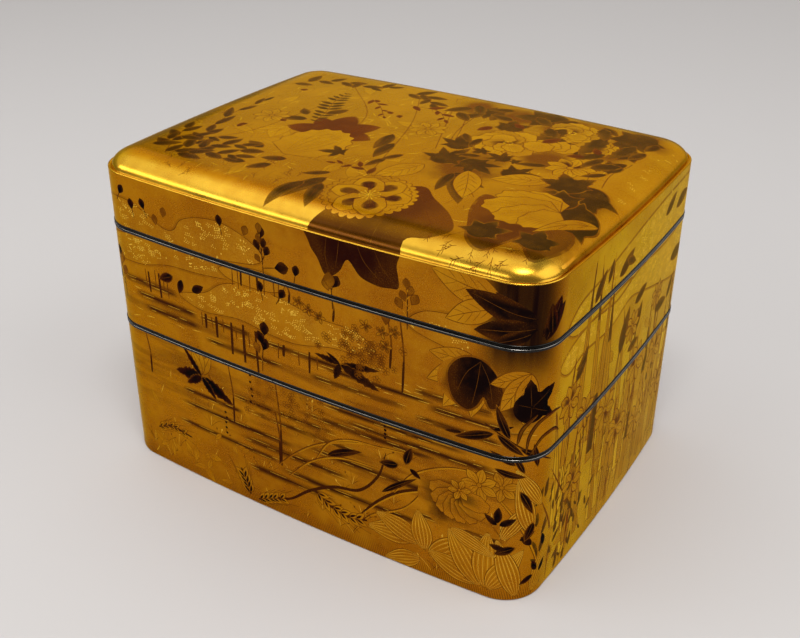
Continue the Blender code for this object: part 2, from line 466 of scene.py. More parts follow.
def frilled_petal(d, at, degrees, size, width=1.0, ink="pale", frills=7):
    """A broad petal with a frilled edge and fine ribs."""
    turn = direction(degrees, size)
    outline = scalloped(frills)
    outline = outline.real + 1j * outline.imag * width
    d.outlined(outline, ink, at, turn, 1.2 * width, d.dice.random())
    for share in (-0.6, -0.3, 0.0, 0.3, 0.6):
        t = np.linspace(0.3, 0.92, 5)
        d.stroke(at + turn * (t + 0.55j * width * share * t ** 0.7), LINE * 0.5, "faint", 0.7)


def peony(d, at, size, petals=9, tilt=0.0, shaded=0.5):
    """A full flower: two rings of frilled petals, some shaded dark at the base, and a small heart."""
    for ring, (reach, count) in enumerate(((1.0, petals), (0.68, petals - 3))):
        for number in range(count):
            heading = tilt + ring * 23 + 360 * number / count + d.dice.uniform(-9, 9)
            ink = "petal" if d.dice.random() < shaded else "pale"
            length = size * reach * d.dice.uniform(0.88, 1.08)
            frilled_petal(d, at, heading, length, d.dice.uniform(0.75, 0.95), ink, d.dice.randint(5, 8))
    for number in range(9):
        spot = at + direction(number * 40 + tilt, size * 0.12)
        d.add(arc(0.45, 5.2, 6), "gold_line", spot)


def blossom(d, at, size, petals=6, scallops=30, tilt=0.0):
    """A big frilled flower: two scalloped edges, six broad petals with dark hearts, and stamens."""
    turn = direction(tilt, size)
    d.outlined(polar_outline(round_lobes(scallops, 0.085), 300), "pale", at, turn, 2.0)
    d.outlined(polar_outline(round_lobes(scallops, 0.07), 300) * 0.86, "pale", at, turn, 2.0)
    for number in range(petals):
        heading = 360 * number / petals + tilt + d.dice.uniform(-7, 7)
        reach = size * d.dice.uniform(0.72, 0.8)
        petal = scalloped(5, 0.05, 60)
        d.outlined(petal.real + 0.72j * petal.imag, "pale", at + direction(heading, size * 0.03),
                   direction(heading, reach), 0.9)
        heart = leaf_outline(0.62, 1.7, steps=16)
        d.add(heart, "heart", at + direction(heading, size * 0.14), direction(heading, reach * 0.72), 0.62,
              d.dice.random())
        for side in (-0.16, 0.0, 0.16):
            t = np.linspace(0.25, 0.8, 5)
            line = at + direction(heading, reach) * (t + 1j * side * t)
            d.stroke(line, LINE * 0.6, "vein", 0.8)
    for number in range(13):
        t = np.linspace(0.02, 0.2, 3)
        heading = number * 27.7 + tilt
        d.stroke(at + direction(heading, size) * t, LINE * 0.8, "gold_line")
        d.add(arc(0.42, 5.2, 6), "gold_line", at + direction(heading, size * 0.21))


def line_flower(d, at, size, petals=7, dark=0.0, degrees=0.0, edge=LINE):
    """A flower of overlapping petals drawn in line, some of them shaded dark."""
    for number in range(petals):
        angle = degrees + 360 * number / petals
        ink = "petal" if d.dice.random() < dark else "pale"
        d.outlined(leaf_outline(0.56, 1.15, steps=14), ink, at, direction(angle, size), 0.56, 0.8, edge)
        t = np.linspace(0.1, 0.8, 5)
        for side in (-0.1, 0.1):
            d.stroke(at + direction(angle, size) * (t + 1j * side * np.sin(math.pi * t)), LINE * 0.5, "line",
                     0.7)
    d.outlined(arc(0.15, 6.0, 14), "pale", at, direction(0, size))


def floret(d, at, size, ink="line"):
    """A tiny open flower in plain line, one of a head."""
    turn = d.dice.uniform(0, 72)
    for number in range(5):
        petal = at + direction(turn + 72 * number, size * 0.55) + arc(size * 0.42, 5.5, 8)
        d.stroke(petal, LINE * 0.7, ink)


def mist(d, points, flecks=0.05):
    """A bank of mist with a drawn edge, and cut gold that lies in it in little drifts."""
    outline = loop(points)
    low, high = outline.real.min(), outline.real.max()
    bottom, top = outline.imag.min(), outline.imag.max()
    length = high - low
    for shape, ink in ((shrink(outline, -0.9), "soft"), (outline, "line"), (shrink(outline, LINE), "mist")):
        d.area(shape, ink, (low, bottom), (high, bottom), (top - bottom) / length)
    spots = []
    while len(spots) < length * (top - bottom) * flecks:
        spots.append(complex(d.dice.uniform(low, high), d.dice.uniform(bottom, top)))
    spots = np.array(spots)
    for spot in spots[covered(shrink(outline, 1.2), spots)]:
        drift(d, spot)


def drift(d, at):
    """A little drift of cut gold: a knot of dots, or a few chips."""
    if d.dice.random() < 0.66:
        row = direction(d.dice.uniform(-25, 25), 1.12)
        for number in range(d.dice.randint(3, 8)):
            spot = at + row * (number % 3 + 0.5 * (number // 3 % 2)) + 1j * row * 0.85 * (number // 3)
            d.add(arc(0.33, 5.1, 4, 0.4), "fleck", spot, tone=d.dice.random())
    else:
        for number in range(d.dice.randint(1, 3)):
            fleck(d, at + complex(d.dice.uniform(-1.6, 1.6), d.dice.uniform(-1.2, 1.2)))


def fleck(d, at):
    """One bit of cut gold leaf: a chip, a rod, a triangle or a dot."""
    kind = d.dice.random()
    turn = direction(d.dice.uniform(0, 180), 1.0)
    tone = d.dice.random()
    if kind < 0.36:
        outline = d.dice.uniform(0.25, 0.45) * np.array((-1 - 0.7j, 1 - 1j, 0.9 + 0.8j, -0.8 + 1j))
    elif kind < 0.7:
        length = d.dice.uniform(0.6, 1.2)
        outline = box_outline((-length, -0.2), (length, 0.2))
    elif kind < 0.85:
        outline = d.dice.uniform(0.35, 0.6) * np.array((-1 - 0.6j, 1 - 0.6j, 0.1 + 1j))
    else:
        outline, turn = arc(0.22, 5.0, 5), 1 + 0j
    d.add(outline, "fleck", at, turn, tone=tone)


def halo(d, at, size):
    """A soft brown burn of no edge, behind dark leaves."""
    d.add(arc(1.0, 6.1, 26), "halo", at, direction(0, size))


def streak(d, start, stop, z, height=3.0):
    """A dark line of water that fades up and down, with broken gold lines beside it."""
    length = stop - start
    t = np.linspace(0, 1, 17)
    half = height / 2 * np.sin(math.pi * t) ** 0.3 + 0.02
    outline = np.concatenate((t * length + 1j * half, (t * length - 1j * half)[-2:0:-1])) / length
    d.add(outline, "streak", complex(start, z), complex(length, 0), height / length)
    core = np.linspace(complex(start + 0.08 * length, z), complex(stop - 0.08 * length, z), 8)
    if d.dice.random() < 0.7:
        d.stroke(core, 0.6, "core", 1.0)
    for side in (-0.85, 0.8):
        place = start + d.dice.uniform(1, 8)
        while place < stop - 6:
            end = min(place + d.dice.uniform(3, 12), stop - 2)
            level = z + side + d.dice.uniform(-0.15, 0.15)
            d.stroke(np.linspace(complex(place, level), complex(end, level), 3), LINE * 0.7, "gold_line", 0.5)
            place = end + d.dice.uniform(4, 24)


def stakes(d, places):
    """Upright strokes that hang below the mist, each given as (s, top, low, width)."""
    for s, top, low, width in places:
        lean = d.dice.uniform(-0.5, 0.5)
        line = np.linspace(complex(s, top), complex(s + lean, low), 4)
        d.stroke(line, width, "dark" if width > 0.8 else "line", 0.25)


def blade(d, base, height, lean, width, dark=(), ink="pale"):
    """A reed blade, with stretches of it painted dark, given as (from, to) shares of its height."""
    t = np.linspace(0, 1, 16)
    line = base + 1j * height * t + lean * t ** 2
    half = width / 2 * (1 - t ** 3.0) ** 0.8 * (0.55 + 0.45 * np.sin(math.pi * np.minimum(t + 0.25, 1)))
    way = np.gradient(line)
    way = way / np.abs(way)
    left, right = line + 1j * way * (half + 0.02), line - 1j * way * (half + 0.02)
    outline = np.concatenate((left, right[::-1]))
    turn = complex(lean, height)
    local = (outline - base) / turn
    d.outlined(local, ink, base, turn, width / height, 0.5, LINE * 1.5)
    d.stroke(line[1:-1], LINE * 1.2, "line", 0.5)
    for low, high in dark:
        part = (t >= low) & (t <= high)
        piece = np.concatenate((line[part] + 0.5 * (left[part] - line[part]) * 1.7,
                                (line[part] + 0.5 * (right[part] - line[part]) * 1.7)[::-1]))
        d.add((piece - base) / turn, "umber", base, turn, width / height, 0.5)


def grass(d, points, width=1.3, ink="dark", steps=9):
    """A bent blade of grass, thin at both ends."""
    d.stroke(curve(points, steps), width, ink, 0.85)


def ear(d, line, length=3.4, grains=9, ink="dark"):
    """A drooping ear of grass: outlined grains with dark cores, and awns."""
    way = np.gradient(line)
    d.stroke(line, length * 0.3, ink, 0.6)
    for number in range(grains):
        place = int((0.1 + 0.85 * number / grains) * (len(line) - 1))
        heading = math.degrees(np.angle(way[place]))
        for side in (-1, 1):
            turn = direction(heading + side * 32, length)
            d.outlined(leaf_outline(0.52, steps=8), "pale", line[place], turn, 0.5)
            d.add(leaf_outline(0.3, steps=6), ink, line[place] + turn * 0.05, turn * 0.6)
            tip = line[place] + turn
            d.stroke(tip + direction(heading + side * 14, length * 0.9) * np.linspace(0, 1, 3), LINE * 0.7,
                     "line")


def scratches(d, count, low, high, length, level=0.3):
    """Short light scratches of grass and ripple, mostly level or mostly upright."""
    for number in range(count):
        start = complex(d.dice.uniform(low[0], high[0]), d.dice.uniform(low[1], high[1]))
        heading = d.dice.gauss(0, 12) if d.dice.random() < level else d.dice.gauss(80, 26)
        reach = direction(heading, length * d.dice.uniform(0.4, 1.2))
        bend = 1j * reach * d.dice.uniform(-0.25, 0.25)
        t = np.linspace(0, 1, 4)
        ink = "gold_line" if d.dice.random() < 0.55 else "faint"
        d.stroke(start + reach * t + bend * t * (1 - t), LINE * d.dice.uniform(0.7, 1.3), ink, 0.7)


def tuft(d, at, size, blades=5):
    """A tuft of fine grass drawn in line, its tips bent over, some with a seed."""
    for number in range(blades):
        heading = 90 + 70 * (number / max(blades - 1, 1) - 0.5) + d.dice.uniform(-9, 9)
        reach = direction(heading, size * d.dice.uniform(0.6, 1.1))
        t = np.linspace(0, 1, 6)
        line = at + reach * t - 0.22j * abs(reach) * t ** 2.5
        ink = ("line", "faint", "gold_line", "faint")[number % 4]
        d.stroke(line, LINE * 0.8, ink, 0.6)
        if d.dice.random() < 0.4:
            d.add(leaf_outline(0.5, steps=5), ink, line[-1], direction(heading - 20, 1.7))


def twig(d, at, degrees, size=4.0):
    """A tiny forked twig with needle ends."""
    end = at + direction(degrees, size)
    d.stroke(np.linspace(at, end, 3), LINE * 0.8, "dark_line", 0.3)
    for share, side in ((0.4, -38), (0.65, 42), (0.9, -30), (0.98, 34)):
        start = at + (end - at) * share
        d.stroke(np.linspace(start, start + direction(degrees + side, size * 0.45), 3), LINE * 0.7,
                 "dark_line", 0.4)


def cluster(d, places, length, width=0.42, ink="dark"):
    """Loose leaves, each given by its base and heading in degrees."""
    for x, y, heading in places:
        size = length * d.dice.uniform(0.8, 1.2)
        leaf(d, complex(x, y), heading, size, width, ink, bend=d.dice.uniform(-0.12, 0.12),
             tone=d.dice.random())


def faint_leaves(d, count, low, high, size):
    """Leaves that are only scratched in line, strewn between two corners of an area."""
    for number in range(count):
        at = complex(d.dice.uniform(low[0], high[0]), d.dice.uniform(low[1], high[1]))
        turn = direction(d.dice.uniform(0, 360), size * d.dice.uniform(0.6, 1.3))
        outline = leaf_outline(d.dice.uniform(0.3, 0.55), bend=d.dice.uniform(-0.2, 0.2), steps=10)
        d.add(outline, "faint", at, turn)
        d.add(shrink(outline, LINE * 0.8 / abs(turn)), "pale", at, turn, 0.5)
        d.stroke(at + turn * np.linspace(0.05, 0.95, 4), LINE * 0.6, "faint", 0.5)


def draw_back_foliage(d):
    """Top, back right: dark leaves round pale full flowers."""
    for x, y, degrees, size in ((44, 66, 200, 17), (92, 62, 250, 17), (58, 36, 120, 13), (14, 58, 40, 12),
                                (96, 42, 200, 10), (95, 22, 170, 9), (70, 34, 20, 12), (34, 44, 100, 11)):
        lobed_leaf(d, complex(x, y), degrees, size, **VINE)
    cluster(d, ((5, 66, 300), (8, 44, 70), (4, 60, 230), (20, 62, 280), (24, 68, 200), (2, 50, 320),
                (30, 54, 170), (66, 66, 285), (78, 60, 260), (102, 62, 265), (101, 48, 250),
                (99, 30, 235), (74, 56, 275), (80, 40, 268), (58, 70, 210), (72, 70, 320)), 13, 0.46)
    peony(d, complex(62, 54), 14, 8, 10, 0.4)
    peony(d, complex(80, 42), 10, 7, 40, 0.4)
    peony(d, complex(43, 24), 17, 9, 0, 0.5)
    for heading in (60, 95, 130, 165):
        frilled_petal(d, complex(64, 26), heading, 14, 0.8)
    leaves(d, ((57, 57, 262, 22), (50, 54, 300, 20, 0.42), (64, 42, 190, 13), (78, 56, 272, 26, 0.42),
               (86, 36, 235, 15), (72, 68, 300, 16), (38, 66, 320, 15), (94, 54, 262, 22, 0.4),
               (98, 26, 215, 17)),
           0.5, 0.15, teeth=5, rib=False)
    cluster(d, ((84, 34, 120), (80, 28, 200), (40, 46, 150), (56, 34, 60), (26, 40, 250)), 9, 0.5, "brown")
    for x, y, size in ((50, 8, 5), (38, 9, 6), (56, 4, 4)):
        lobed_leaf(d, complex(x, y), d.dice.uniform(0, 360), size, THREE_LOBES, sharpness=0.6, veins=False)
    line_flower(d, complex(80, 12), 12, 9, 0.2, 15)
    cluster(d, ((88, 30, 250), (96, 14, 230), (70, 8, 200)), 13, 0.36)


def draw_right_leaves(d):
    """Top, right: maple leaves and blades, then large dark leaves with pale petals before them."""
    for x, y, degrees, size in ((28, -9, 75, 16), (42, -8, 330, 15), (25, 9, 110, 13), (62, -8, 20, 13),
                                (50, 5, 160, 9)):
        lobed_leaf(d, complex(x, y), degrees, size, **IVY)
    leaves(d, ((40, -22, -52, 32), (40, -22, -22, 20), (40, -22, -84, 20), (40, -22, 10, 12)), 0.27, 0.1)
    cluster(d, ((20, 24, 305), (30, 22, 265), (40, 2, 200)), 12, 0.36)
    outline_leaf(d, complex(24, -20), 250, 26, 0.5, 4, -0.1)
    outline_leaf(d, complex(44, -16), 300, 30, 0.42, 4, -0.1)
    outline_leaf(d, complex(80, -8), 195, 26, 0.5, 4, 0.15)

    hollow = loop(((63, -36), (70, -38), (78, -50), (88, -54), (97, -48), (108, -48), (110, -60), (105, -75),
                   (98, -69), (93, -61), (90, -70), (84, -78), (76, -74), (71, -63), (65, -50)))
    d.area(shrink(hollow, -1.2), "burn", (86, -80), (86, -36), 1.0)
    d.area(hollow, "brown", (86, -80), (86, -36), 1.0)
    for x, y, degrees, size in ((98, -14, 250, 19), (102, -36, 200, 21), (88, -7, 120, 14), (78, -66, 80, 11),
                                (100, -64, 100, 11), (92, -24, 160, 13)):
        lobed_leaf(d, complex(x, y), degrees, size, veins=False, **VINE)
    for heading, length in ((150, 22), (172, 28), (196, 30), (220, 26), (246, 20)):
        frilled_petal(d, complex(97, -34), heading, length, 0.62)
    outline_leaf(d, complex(113, -32), 222, 30, 0.26, 2, 0.2)


def draw_flap_leaf(d):
    """Top, front: the big brown leaf that laps over the edge, behind the main flower."""
    outline = loop(((8, -100), (12, -82), (22, -58), (36, -42), (47, -50), (60, -60), (68, -72), (62, -80),
                    (53, -84), (54, -100)))
    # On the top this ink turns russet, with painted shade where the leaf laps over the shoulder.
    d.area(outline, "brown", (36, -44), (34, -96), 0.9)
    for end in ((22, -92), (40, -94), (60, -74)):
        d.stroke(np.linspace(complex(37, -46), complex(*end), 6), LINE * 0.5, "vein", 0.8)
    blossom(d, complex(22, -61), 21, 6, 30, 10)


def draw_mound(d):
    """Top, left of the middle: a brown lobed leaf with a pale rounded leaf before it."""
    lobes = ((0, 1.0, 46), (46, 0.86, 40), (-46, 0.95, 42), (92, 0.95, 44), (-92, 0.86, 44), (136, 0.7, 40),
             (-130, 0.6, 40))
    lobed_leaf(d, complex(-36, -8), 95, 25, lobes, "brown", 0.5, 0.5)
    turn = direction(72, 38)
    frilled_petal(d, complex(-37, -44), 78, 36, 0.78, "pale", 11)
    for share in (-0.75, -0.4, 0.0, 0.4, 0.75):
        t = np.linspace(0.05, 0.8, 9)
        d.stroke(complex(-37, -42) + turn * (t + 0.3j * share * np.sin(math.pi * t)), LINE * 0.6, "faint",
                 0.5)
    lobed_leaf(d, complex(-16, -28), 200, 9.5, THREE_LOBES, sharpness=0.8, teeth=0.1)


def draw_left_sprays(d):
    """Top, left: fern, sprigs and loose leaves."""
    fern(d, curve([(-50, -2), (-54, 14), (-60, 30), (-62, 46)]), 8.0, 11)
    cluster(d, ((-60, 6, 140), (-56, 0, 190), (-52, 12, 60)), 11, 0.5)
    line_flower(d, complex(-74, -4), 10, 8, 0.0, 20)
    line_flower(d, complex(2, 20), 10, 8, 0.0, 0)
    leaves(d, ((-8, 4, 282, 20), (-1, -6, 268, 19), (6, -24, 250, 12), (10, -16, 240, 11), (-4, -56, 250, 24),
               (-2, -62, 285, 20), (-10, -64, 255, 22), (-6, -50, 220, 12)), 0.34, 0.1)
    spray(d, curve([(10, -44), (2, -38), (-10, -40)]), 5, 9, 0.4, "brown")
    leaves(d, ((-32, -48, 200, 11), (-34, -56, 230, 11), (-50, -42, 160, 11), (-56, -50, 20, 11),
               (-46, -60, 190, 11)), 0.5)
    for points in (((-84, -70), (-92, -56), (-98, -40)), ((-82, -68), (-80, -54), (-86, -38)),
                   ((-80, -68), (-68, -60), (-54, -56)), ((-98, -66), (-92, -50), (-76, -42)),
                   ((-76, -66), (-72, -52), (-60, -44))):
        spray(d, curve(points), 5, 12.5, 0.44, spread=38, shrinking=0.25)
    spray(d, curve([(-88, -34), (-93, -12), (-92, 12)]), 4, 16, 0.3, spread=16)
    spray(d, curve([(-98, 44), (-88, 56), (-72, 62)]), 5, 12, 0.45, shrinking=0.2)
    spray(d, curve([(-70, 66), (-60, 60), (-50, 66)]), 4, 11, 0.45, shrinking=0.2)
    spray(d, curve([(-36, 62), (-26, 64), (-16, 54)]), 6, 12, 0.42, shrinking=0.2)
    spray(d, curve([(-24, 46), (-8, 46), (2, 36)]), 5, 10, 0.4, "brown")
    spray(d, curve([(-46, 44), (-36, 36), (-26, 24)]), 5, 7, 0.4, "brown")
    for x, y in ((-76, -20), (-67, -6), (-78, -26), (-44, 44), (-28, 32), (-18, 26), (-88, 38)):
        bud(d, complex(x, y), d.dice.uniform(0, 360), 4.6, "brown")


def draw_twigs(d):
    """Top, front edge: fine forked twigs."""
    for count, left, right, low, high, from_degrees, to_degrees, size in (
            (19, 58, 106, -84, -70, 200, 340, 4.2), (9, -34, -14, -74, -50, 90, 160, 4.4),
            (7, -82, -60, -84, -70, 40, 160, 4.0)):
        for _ in range(count):
            at = complex(d.dice.uniform(left, right), d.dice.uniform(low, high))
            twig(d, at, d.dice.uniform(from_degrees, to_degrees), size)


def draw_top():
    """The plants over the lid's top: flowers and dark leaves, thick to the right and thin to the left."""
    d = Drawing(11, {"dark": "umber", "brown": "russet", "dark_line": "line", "halo": "haze"})
    faint_leaves(d, 40, (-100, -70), (95, 70), 17)
    scratches(d, 420, (-104, -78), (98, 74), 7, 0.15)
    d.strokes((((-98, -62), (-70, -30), (-62, 20)), ((-40, -70), (-30, 10), (-70, 62)),
               ((10, -44), (-8, 20), (-30, 66)), ((30, -30), (10, 20), (-10, 70)),
               ((60, -40), (20, 10), (10, 66)), ((34, -20), (20, 16), (0, 70)),
               ((80, -30), (60, 20), (66, 68)), ((96, -40), (90, 10), (60, 60))), taper=0.4)
    edge = curve([(122, 78), (101, 68), (97, 50), (101, 32), (98, 14), (102, -8), (106, -20), (112, -14),
                  (122, -18)])
    field = np.concatenate((edge, [complex(140, 20)]))
    d.area(field, "line", (98, 20), (140, 20))
    d.area(field + 0.4, "mist", (98, 20), (140, 20))
    for _ in range(10):
        drift(d, complex(d.dice.uniform(106, 112), d.dice.uniform(-8, 60)))
    for x, y, size in ((62, 54, 24), (84, 42, 20), (44, 24, 22), (40, -12, 24), (94, -20, 20), (30, 60, 16),
                       (94, 62, 16), (66, 14, 16), (100, -56, 18), (6, 62, 14)):
        halo(d, complex(x, y), size)
    draw_back_foliage(d)
    draw_right_leaves(d)
    draw_mound(d)
    draw_left_sprays(d)
    draw_flap_leaf(d)
    draw_twigs(d)
    return d


# The front: water lines as (from s, to s, z), banks of mist as (outline, flecks), stakes as (s, top,
# foot, width).
WATER = ((-106, -66, 104), (-98, -54, 97), (-56, -22, 97), (-22, 30, 96), (12, 74, 93.5), (-92, -54, 91),
         (66, 116, 91), (-54, -4, 86), (6, 60, 87), (60, 104, 84), (60, 100, 97), (10, 90, 74), (24, 106, 69),
         (0, 76, 65.5), (-40, 24, 60), (-72, -30, 52), (-30, 40, 54.5), (-74, 0, 44), (4, 84, 47),
         (-36, 30, 38),
         (-78, -8, 32), (-14, 72, 28), (-32, 22, 22.5), (60, 108, 33))
MIST_BANKS = (
    (((-134, 132), (-116, 143), (-98, 145.5), (-84, 142), (-73, 137), (-66, 138), (-61, 144), (-50, 148),
      (-36, 149), (-22, 145), (-14, 139), (-18, 134), (-34, 131), (-62, 128), (-104, 127), (-134, 126)),
     0.05),
    (((-122, 119), (-104, 127), (-70, 129.5), (-40, 129), (-29, 126), (-34, 122), (-52, 119.5), (-72, 118),
      (-90, 113.5), (-108, 114)), 0.06),
    (((-66, 106), (-50, 111), (-38, 119), (-20, 122.5), (-2, 120.5), (14, 117.5), (30, 117), (40, 113.5),
      (43, 109),
      (34, 105.5), (20, 104.5), (2, 100.5), (-14, 101), (-30, 103), (-50, 100.5), (-62, 102.5)), 0.075),
    (((58, 130), (66, 136), (80, 138), (94, 141), (108, 144), (122, 142), (129, 137), (126, 131), (112, 128),
      (98, 125), (86, 120.5), (72, 122.5), (60, 126)), 0.05),
    (((-40, 126.5), (-30, 130), (-14, 131.5), (-3, 128), (-8, 123), (-22, 121.5), (-35, 122.5)), 0.0),
)
STAKES = ((-88, 112, 102, 0.6), (-86, 111, 100, 1.2), (-81.5, 113, 105, 0.6), (-79, 112, 99, 1.4),
          (-76, 112, 104, 0.6), (-74, 113, 100, 0.6), (-53, 100, 93, 0.6), (-50.5, 101, 92, 1.5),
          (-47, 99, 93, 0.6), (-44, 101, 89, 1.6), (-40, 100, 93, 0.6), (-35, 100, 83, 1.5),
          (-32.5, 99, 92, 0.6),
          (-28, 101, 81, 1.6), (-25, 98, 90, 0.6), (-21, 100, 77, 1.3), (-8, 98, 90, 0.6), (-5, 98, 92, 1.6),
          (3, 97, 90, 0.6), (9, 99, 88, 1.2), (13, 98, 91, 0.6))
HIGH_STAKES = ((-32, 129, 120, 0.6), (-29, 130, 119, 0.6), (-27, 129, 121, 1.2), (-22, 129, 119, 0.6),
               (-18, 129, 121, 1.3), (-14, 129, 120, 0.6), (-9, 130, 121, 0.6), (-6, 131, 119, 0.6))


def draw_water(d):
    """Front: mist over dark lines of water, with stakes and strokes that hang from it."""
    scratches(d, 50, (-112, 2), (118, 74), 6, 0.45)
    scratches(d, 70, (-112, 79), (118, 108), 6, 0.9)
    for _ in range(46):
        spot = complex(d.dice.uniform(-108, 112), 3 + 66 * d.dice.random() ** 1.4)
        tuft(d, spot, d.dice.uniform(6, 12), d.dice.randint(3, 6))
    for start, stop, z in WATER:
        streak(d, start, stop, z, d.dice.uniform(4.0, 6.5))
    faint_leaves(d, 26, (-104, 6), (-30, 34), 8)
    for number in range(60):
        s, z = d.dice.uniform(-30, 16), d.dice.uniform(54, 76)
        floret(d, complex(s, z), d.dice.uniform(1.6, 2.4), "faint" if number % 3 else "line")
    stakes(d, STAKES)
    for points, flecks in MIST_BANKS:
        mist(d, points, flecks)
    stakes(d, HIGH_STAKES)
    for s, top, low in ((-92, 76, 53), (-51, 66, 55), (-10, 76, 30), (-11, 60, 31), (-1, 130, 120),
                        (-38, 76, 44),
                        (50, 128, 104), (56, 128, 94), (22, 130, 118)):
        d.stroke(curve([(s - 1.2, top), (s + 0.6, (top + low) / 2), (s, low)]), 0.9, "line", 0.3)
        middle = (top * 0.45 + low * 0.55)
        d.stroke(curve([(s + 0.5, middle), (s + 0.3, (middle + low) / 2), (s, low)]), 1.2, "dark", 0.4)


def draw_buds(d):
    """Front: buds and small sprigs along the mist."""
    for s, z, heading in ((-100, 147, 60), (-92, 141, 100), (-84, 143, 110), (-77, 137, 100), (-72, 142, 80),
                          (-37, 147, 100), (-24, 146, 70), (3, 134, 80), (48, 124, 90), (-6, 121, 60),
                          (-16, 121, 100)):
        bud(d, complex(s, z), heading, 5.6, "dark" if d.dice.random() < 0.6 else "pale", 4.0)
    bud_spray(d, complex(-14, 128), 20, -1, 7, 5.8)
    bud(d, complex(-8, 135), 15, 8, "dark", 6.0)
    for s, z, height, lean, buds, size in ((58, 125, 17, 0, 5, 6), (22, 124, 14, -1, 3, 6.5),
                                           (-104, 92, 20, -2, 5, 7), (-18, 80, 18, 2, 4, 7.5)):
        bud_spray(d, complex(s, z), height, lean, buds, size)
    cluster(d, ((-70, 113, 205), (-64, 113, 250), (-58, 109, 30)), 8, 0.5)
    for _ in range(60):
        s, z = d.dice.gauss(36, 9), d.dice.gauss(108, 5)
        floret(d, complex(s, z), d.dice.uniform(1.5, 2.3))
    for s, z in ((4, 122), (9, 120), (15, 118), (38, 121), (46, 120), (48, 114), (52, 122)):
        line_flower(d, complex(s, z), 3.4, 5, 0.5)


def draw_corner_leaves(d):
    """Front right: leaves half in line and half dark, across the corner and over the edge, on a painted dark
    reflection.
    """
    d.area(loop(((10, 164), (11, 152), (15, 146), (18, 140), (21, 139), (26, 143), (30, 149), (36, 143),
                 (44, 141),
                 (50, 141.5), (54, 143), (53, 152), (52, 164))), "brown", (32, 162), (32, 138), 1.8)
    d.strokes((((20, 158), (19, 149), (20.5, 141)), ((34, 158), (38, 150), (46, 143)),
               ((42, 158), (46, 150), (52, 144)), ((26, 158), (25, 150), (24, 145))), LINE * 0.5, "vein", 0.8)
    bud(d, complex(21, 133), 95, 8, "pale", 6.0)

    # Painted dark reflection: a soft dark brown band across the right front corner under the lid's edge,
    # fading downwards.
    d.area(box_outline((86, 104), (128, 159)), "smoke", (107, 159), (107, 104), 42 / 55)
    outline_leaf(d, complex(98, 150), 176, 30, 0.5, 4, -0.12)
    outline_leaf(d, complex(97, 145), 198, 24, 0.46, 4, 0.1)
    leaves(d, ((113, 137, 142, 23), (113, 142, 166, 31, 0.34), (113, 138, 186, 26), (111, 136, 204, 17),
               (115, 134, 42, 17), (117, 132, 66, 19, 0.42), (120, 134, 96, 14)), sway=0.08, soft=False)
    for heading, length in ((176, 24), (205, 28), (232, 30), (258, 26)):
        outline_leaf(d, complex(92, 118), heading, length, 0.4, 4, 0.05)
    halo(d, complex(83, 108), 11)
    halo(d, complex(108, 102), 12)
    vine = loop(((78, 103), (77, 112), (82, 119), (90, 121), (97, 117), (101, 109), (100, 102), (96, 99.5),
                 (93, 104),
                 (90, 99), (86, 96), (81, 98)))
    d.area(shrink(vine, -0.9), "burn", (91, 121), (87, 96), 0.95)
    d.area(vine, "dark", (91, 121), (87, 96), 0.95)
    d.strokes((((91, 120), (85, 113), (81, 103)), ((91, 120), (90, 110), (88, 99)),
               ((91, 120), (95, 112), (97, 102))), LINE * 0.6, "vein", 0.7)
    for heading, length in ((200, 18), (235, 22), (262, 24)):
        outline_leaf(d, complex(112, 118), heading, length, 0.42, 4, 0.05)
    lobed_leaf(d, complex(113, 102), 38, 15, THREE_LOBES, "dark", 0.5, 0.75, 0.06, soft=False)

    d.stroke(curve([(126, 72), (114, 80), (102, 88), (94, 92)]), 0.8, "dark", 0.4)
    leaves(d, ((98, 88, 205, 18), (98, 90, 20, 9), (105, 87, 118, 16), (100, 88, 320, 14), (110, 82, 330, 12),
               (108, 74, 150, 12), (112, 70, 120, 10), (100, 71, 340, 13), (118, 72, 100, 12),
               (111, 60, 300, 14),
               (84, 84, 190, 8)), 0.24, 0.1)
    for points in (((112, 80), (113, 88), (117, 94), (124, 96), (131, 95)),
                   ((114, 79), (119, 86), (126, 87), (131, 84)), ((108, 84), (110, 92), (116, 98))):
        grass(d, points, 2.0, "dark", 6)
        grass(d, [(s, z - 0.3) for s, z in points], 0.9, "vein", 6)


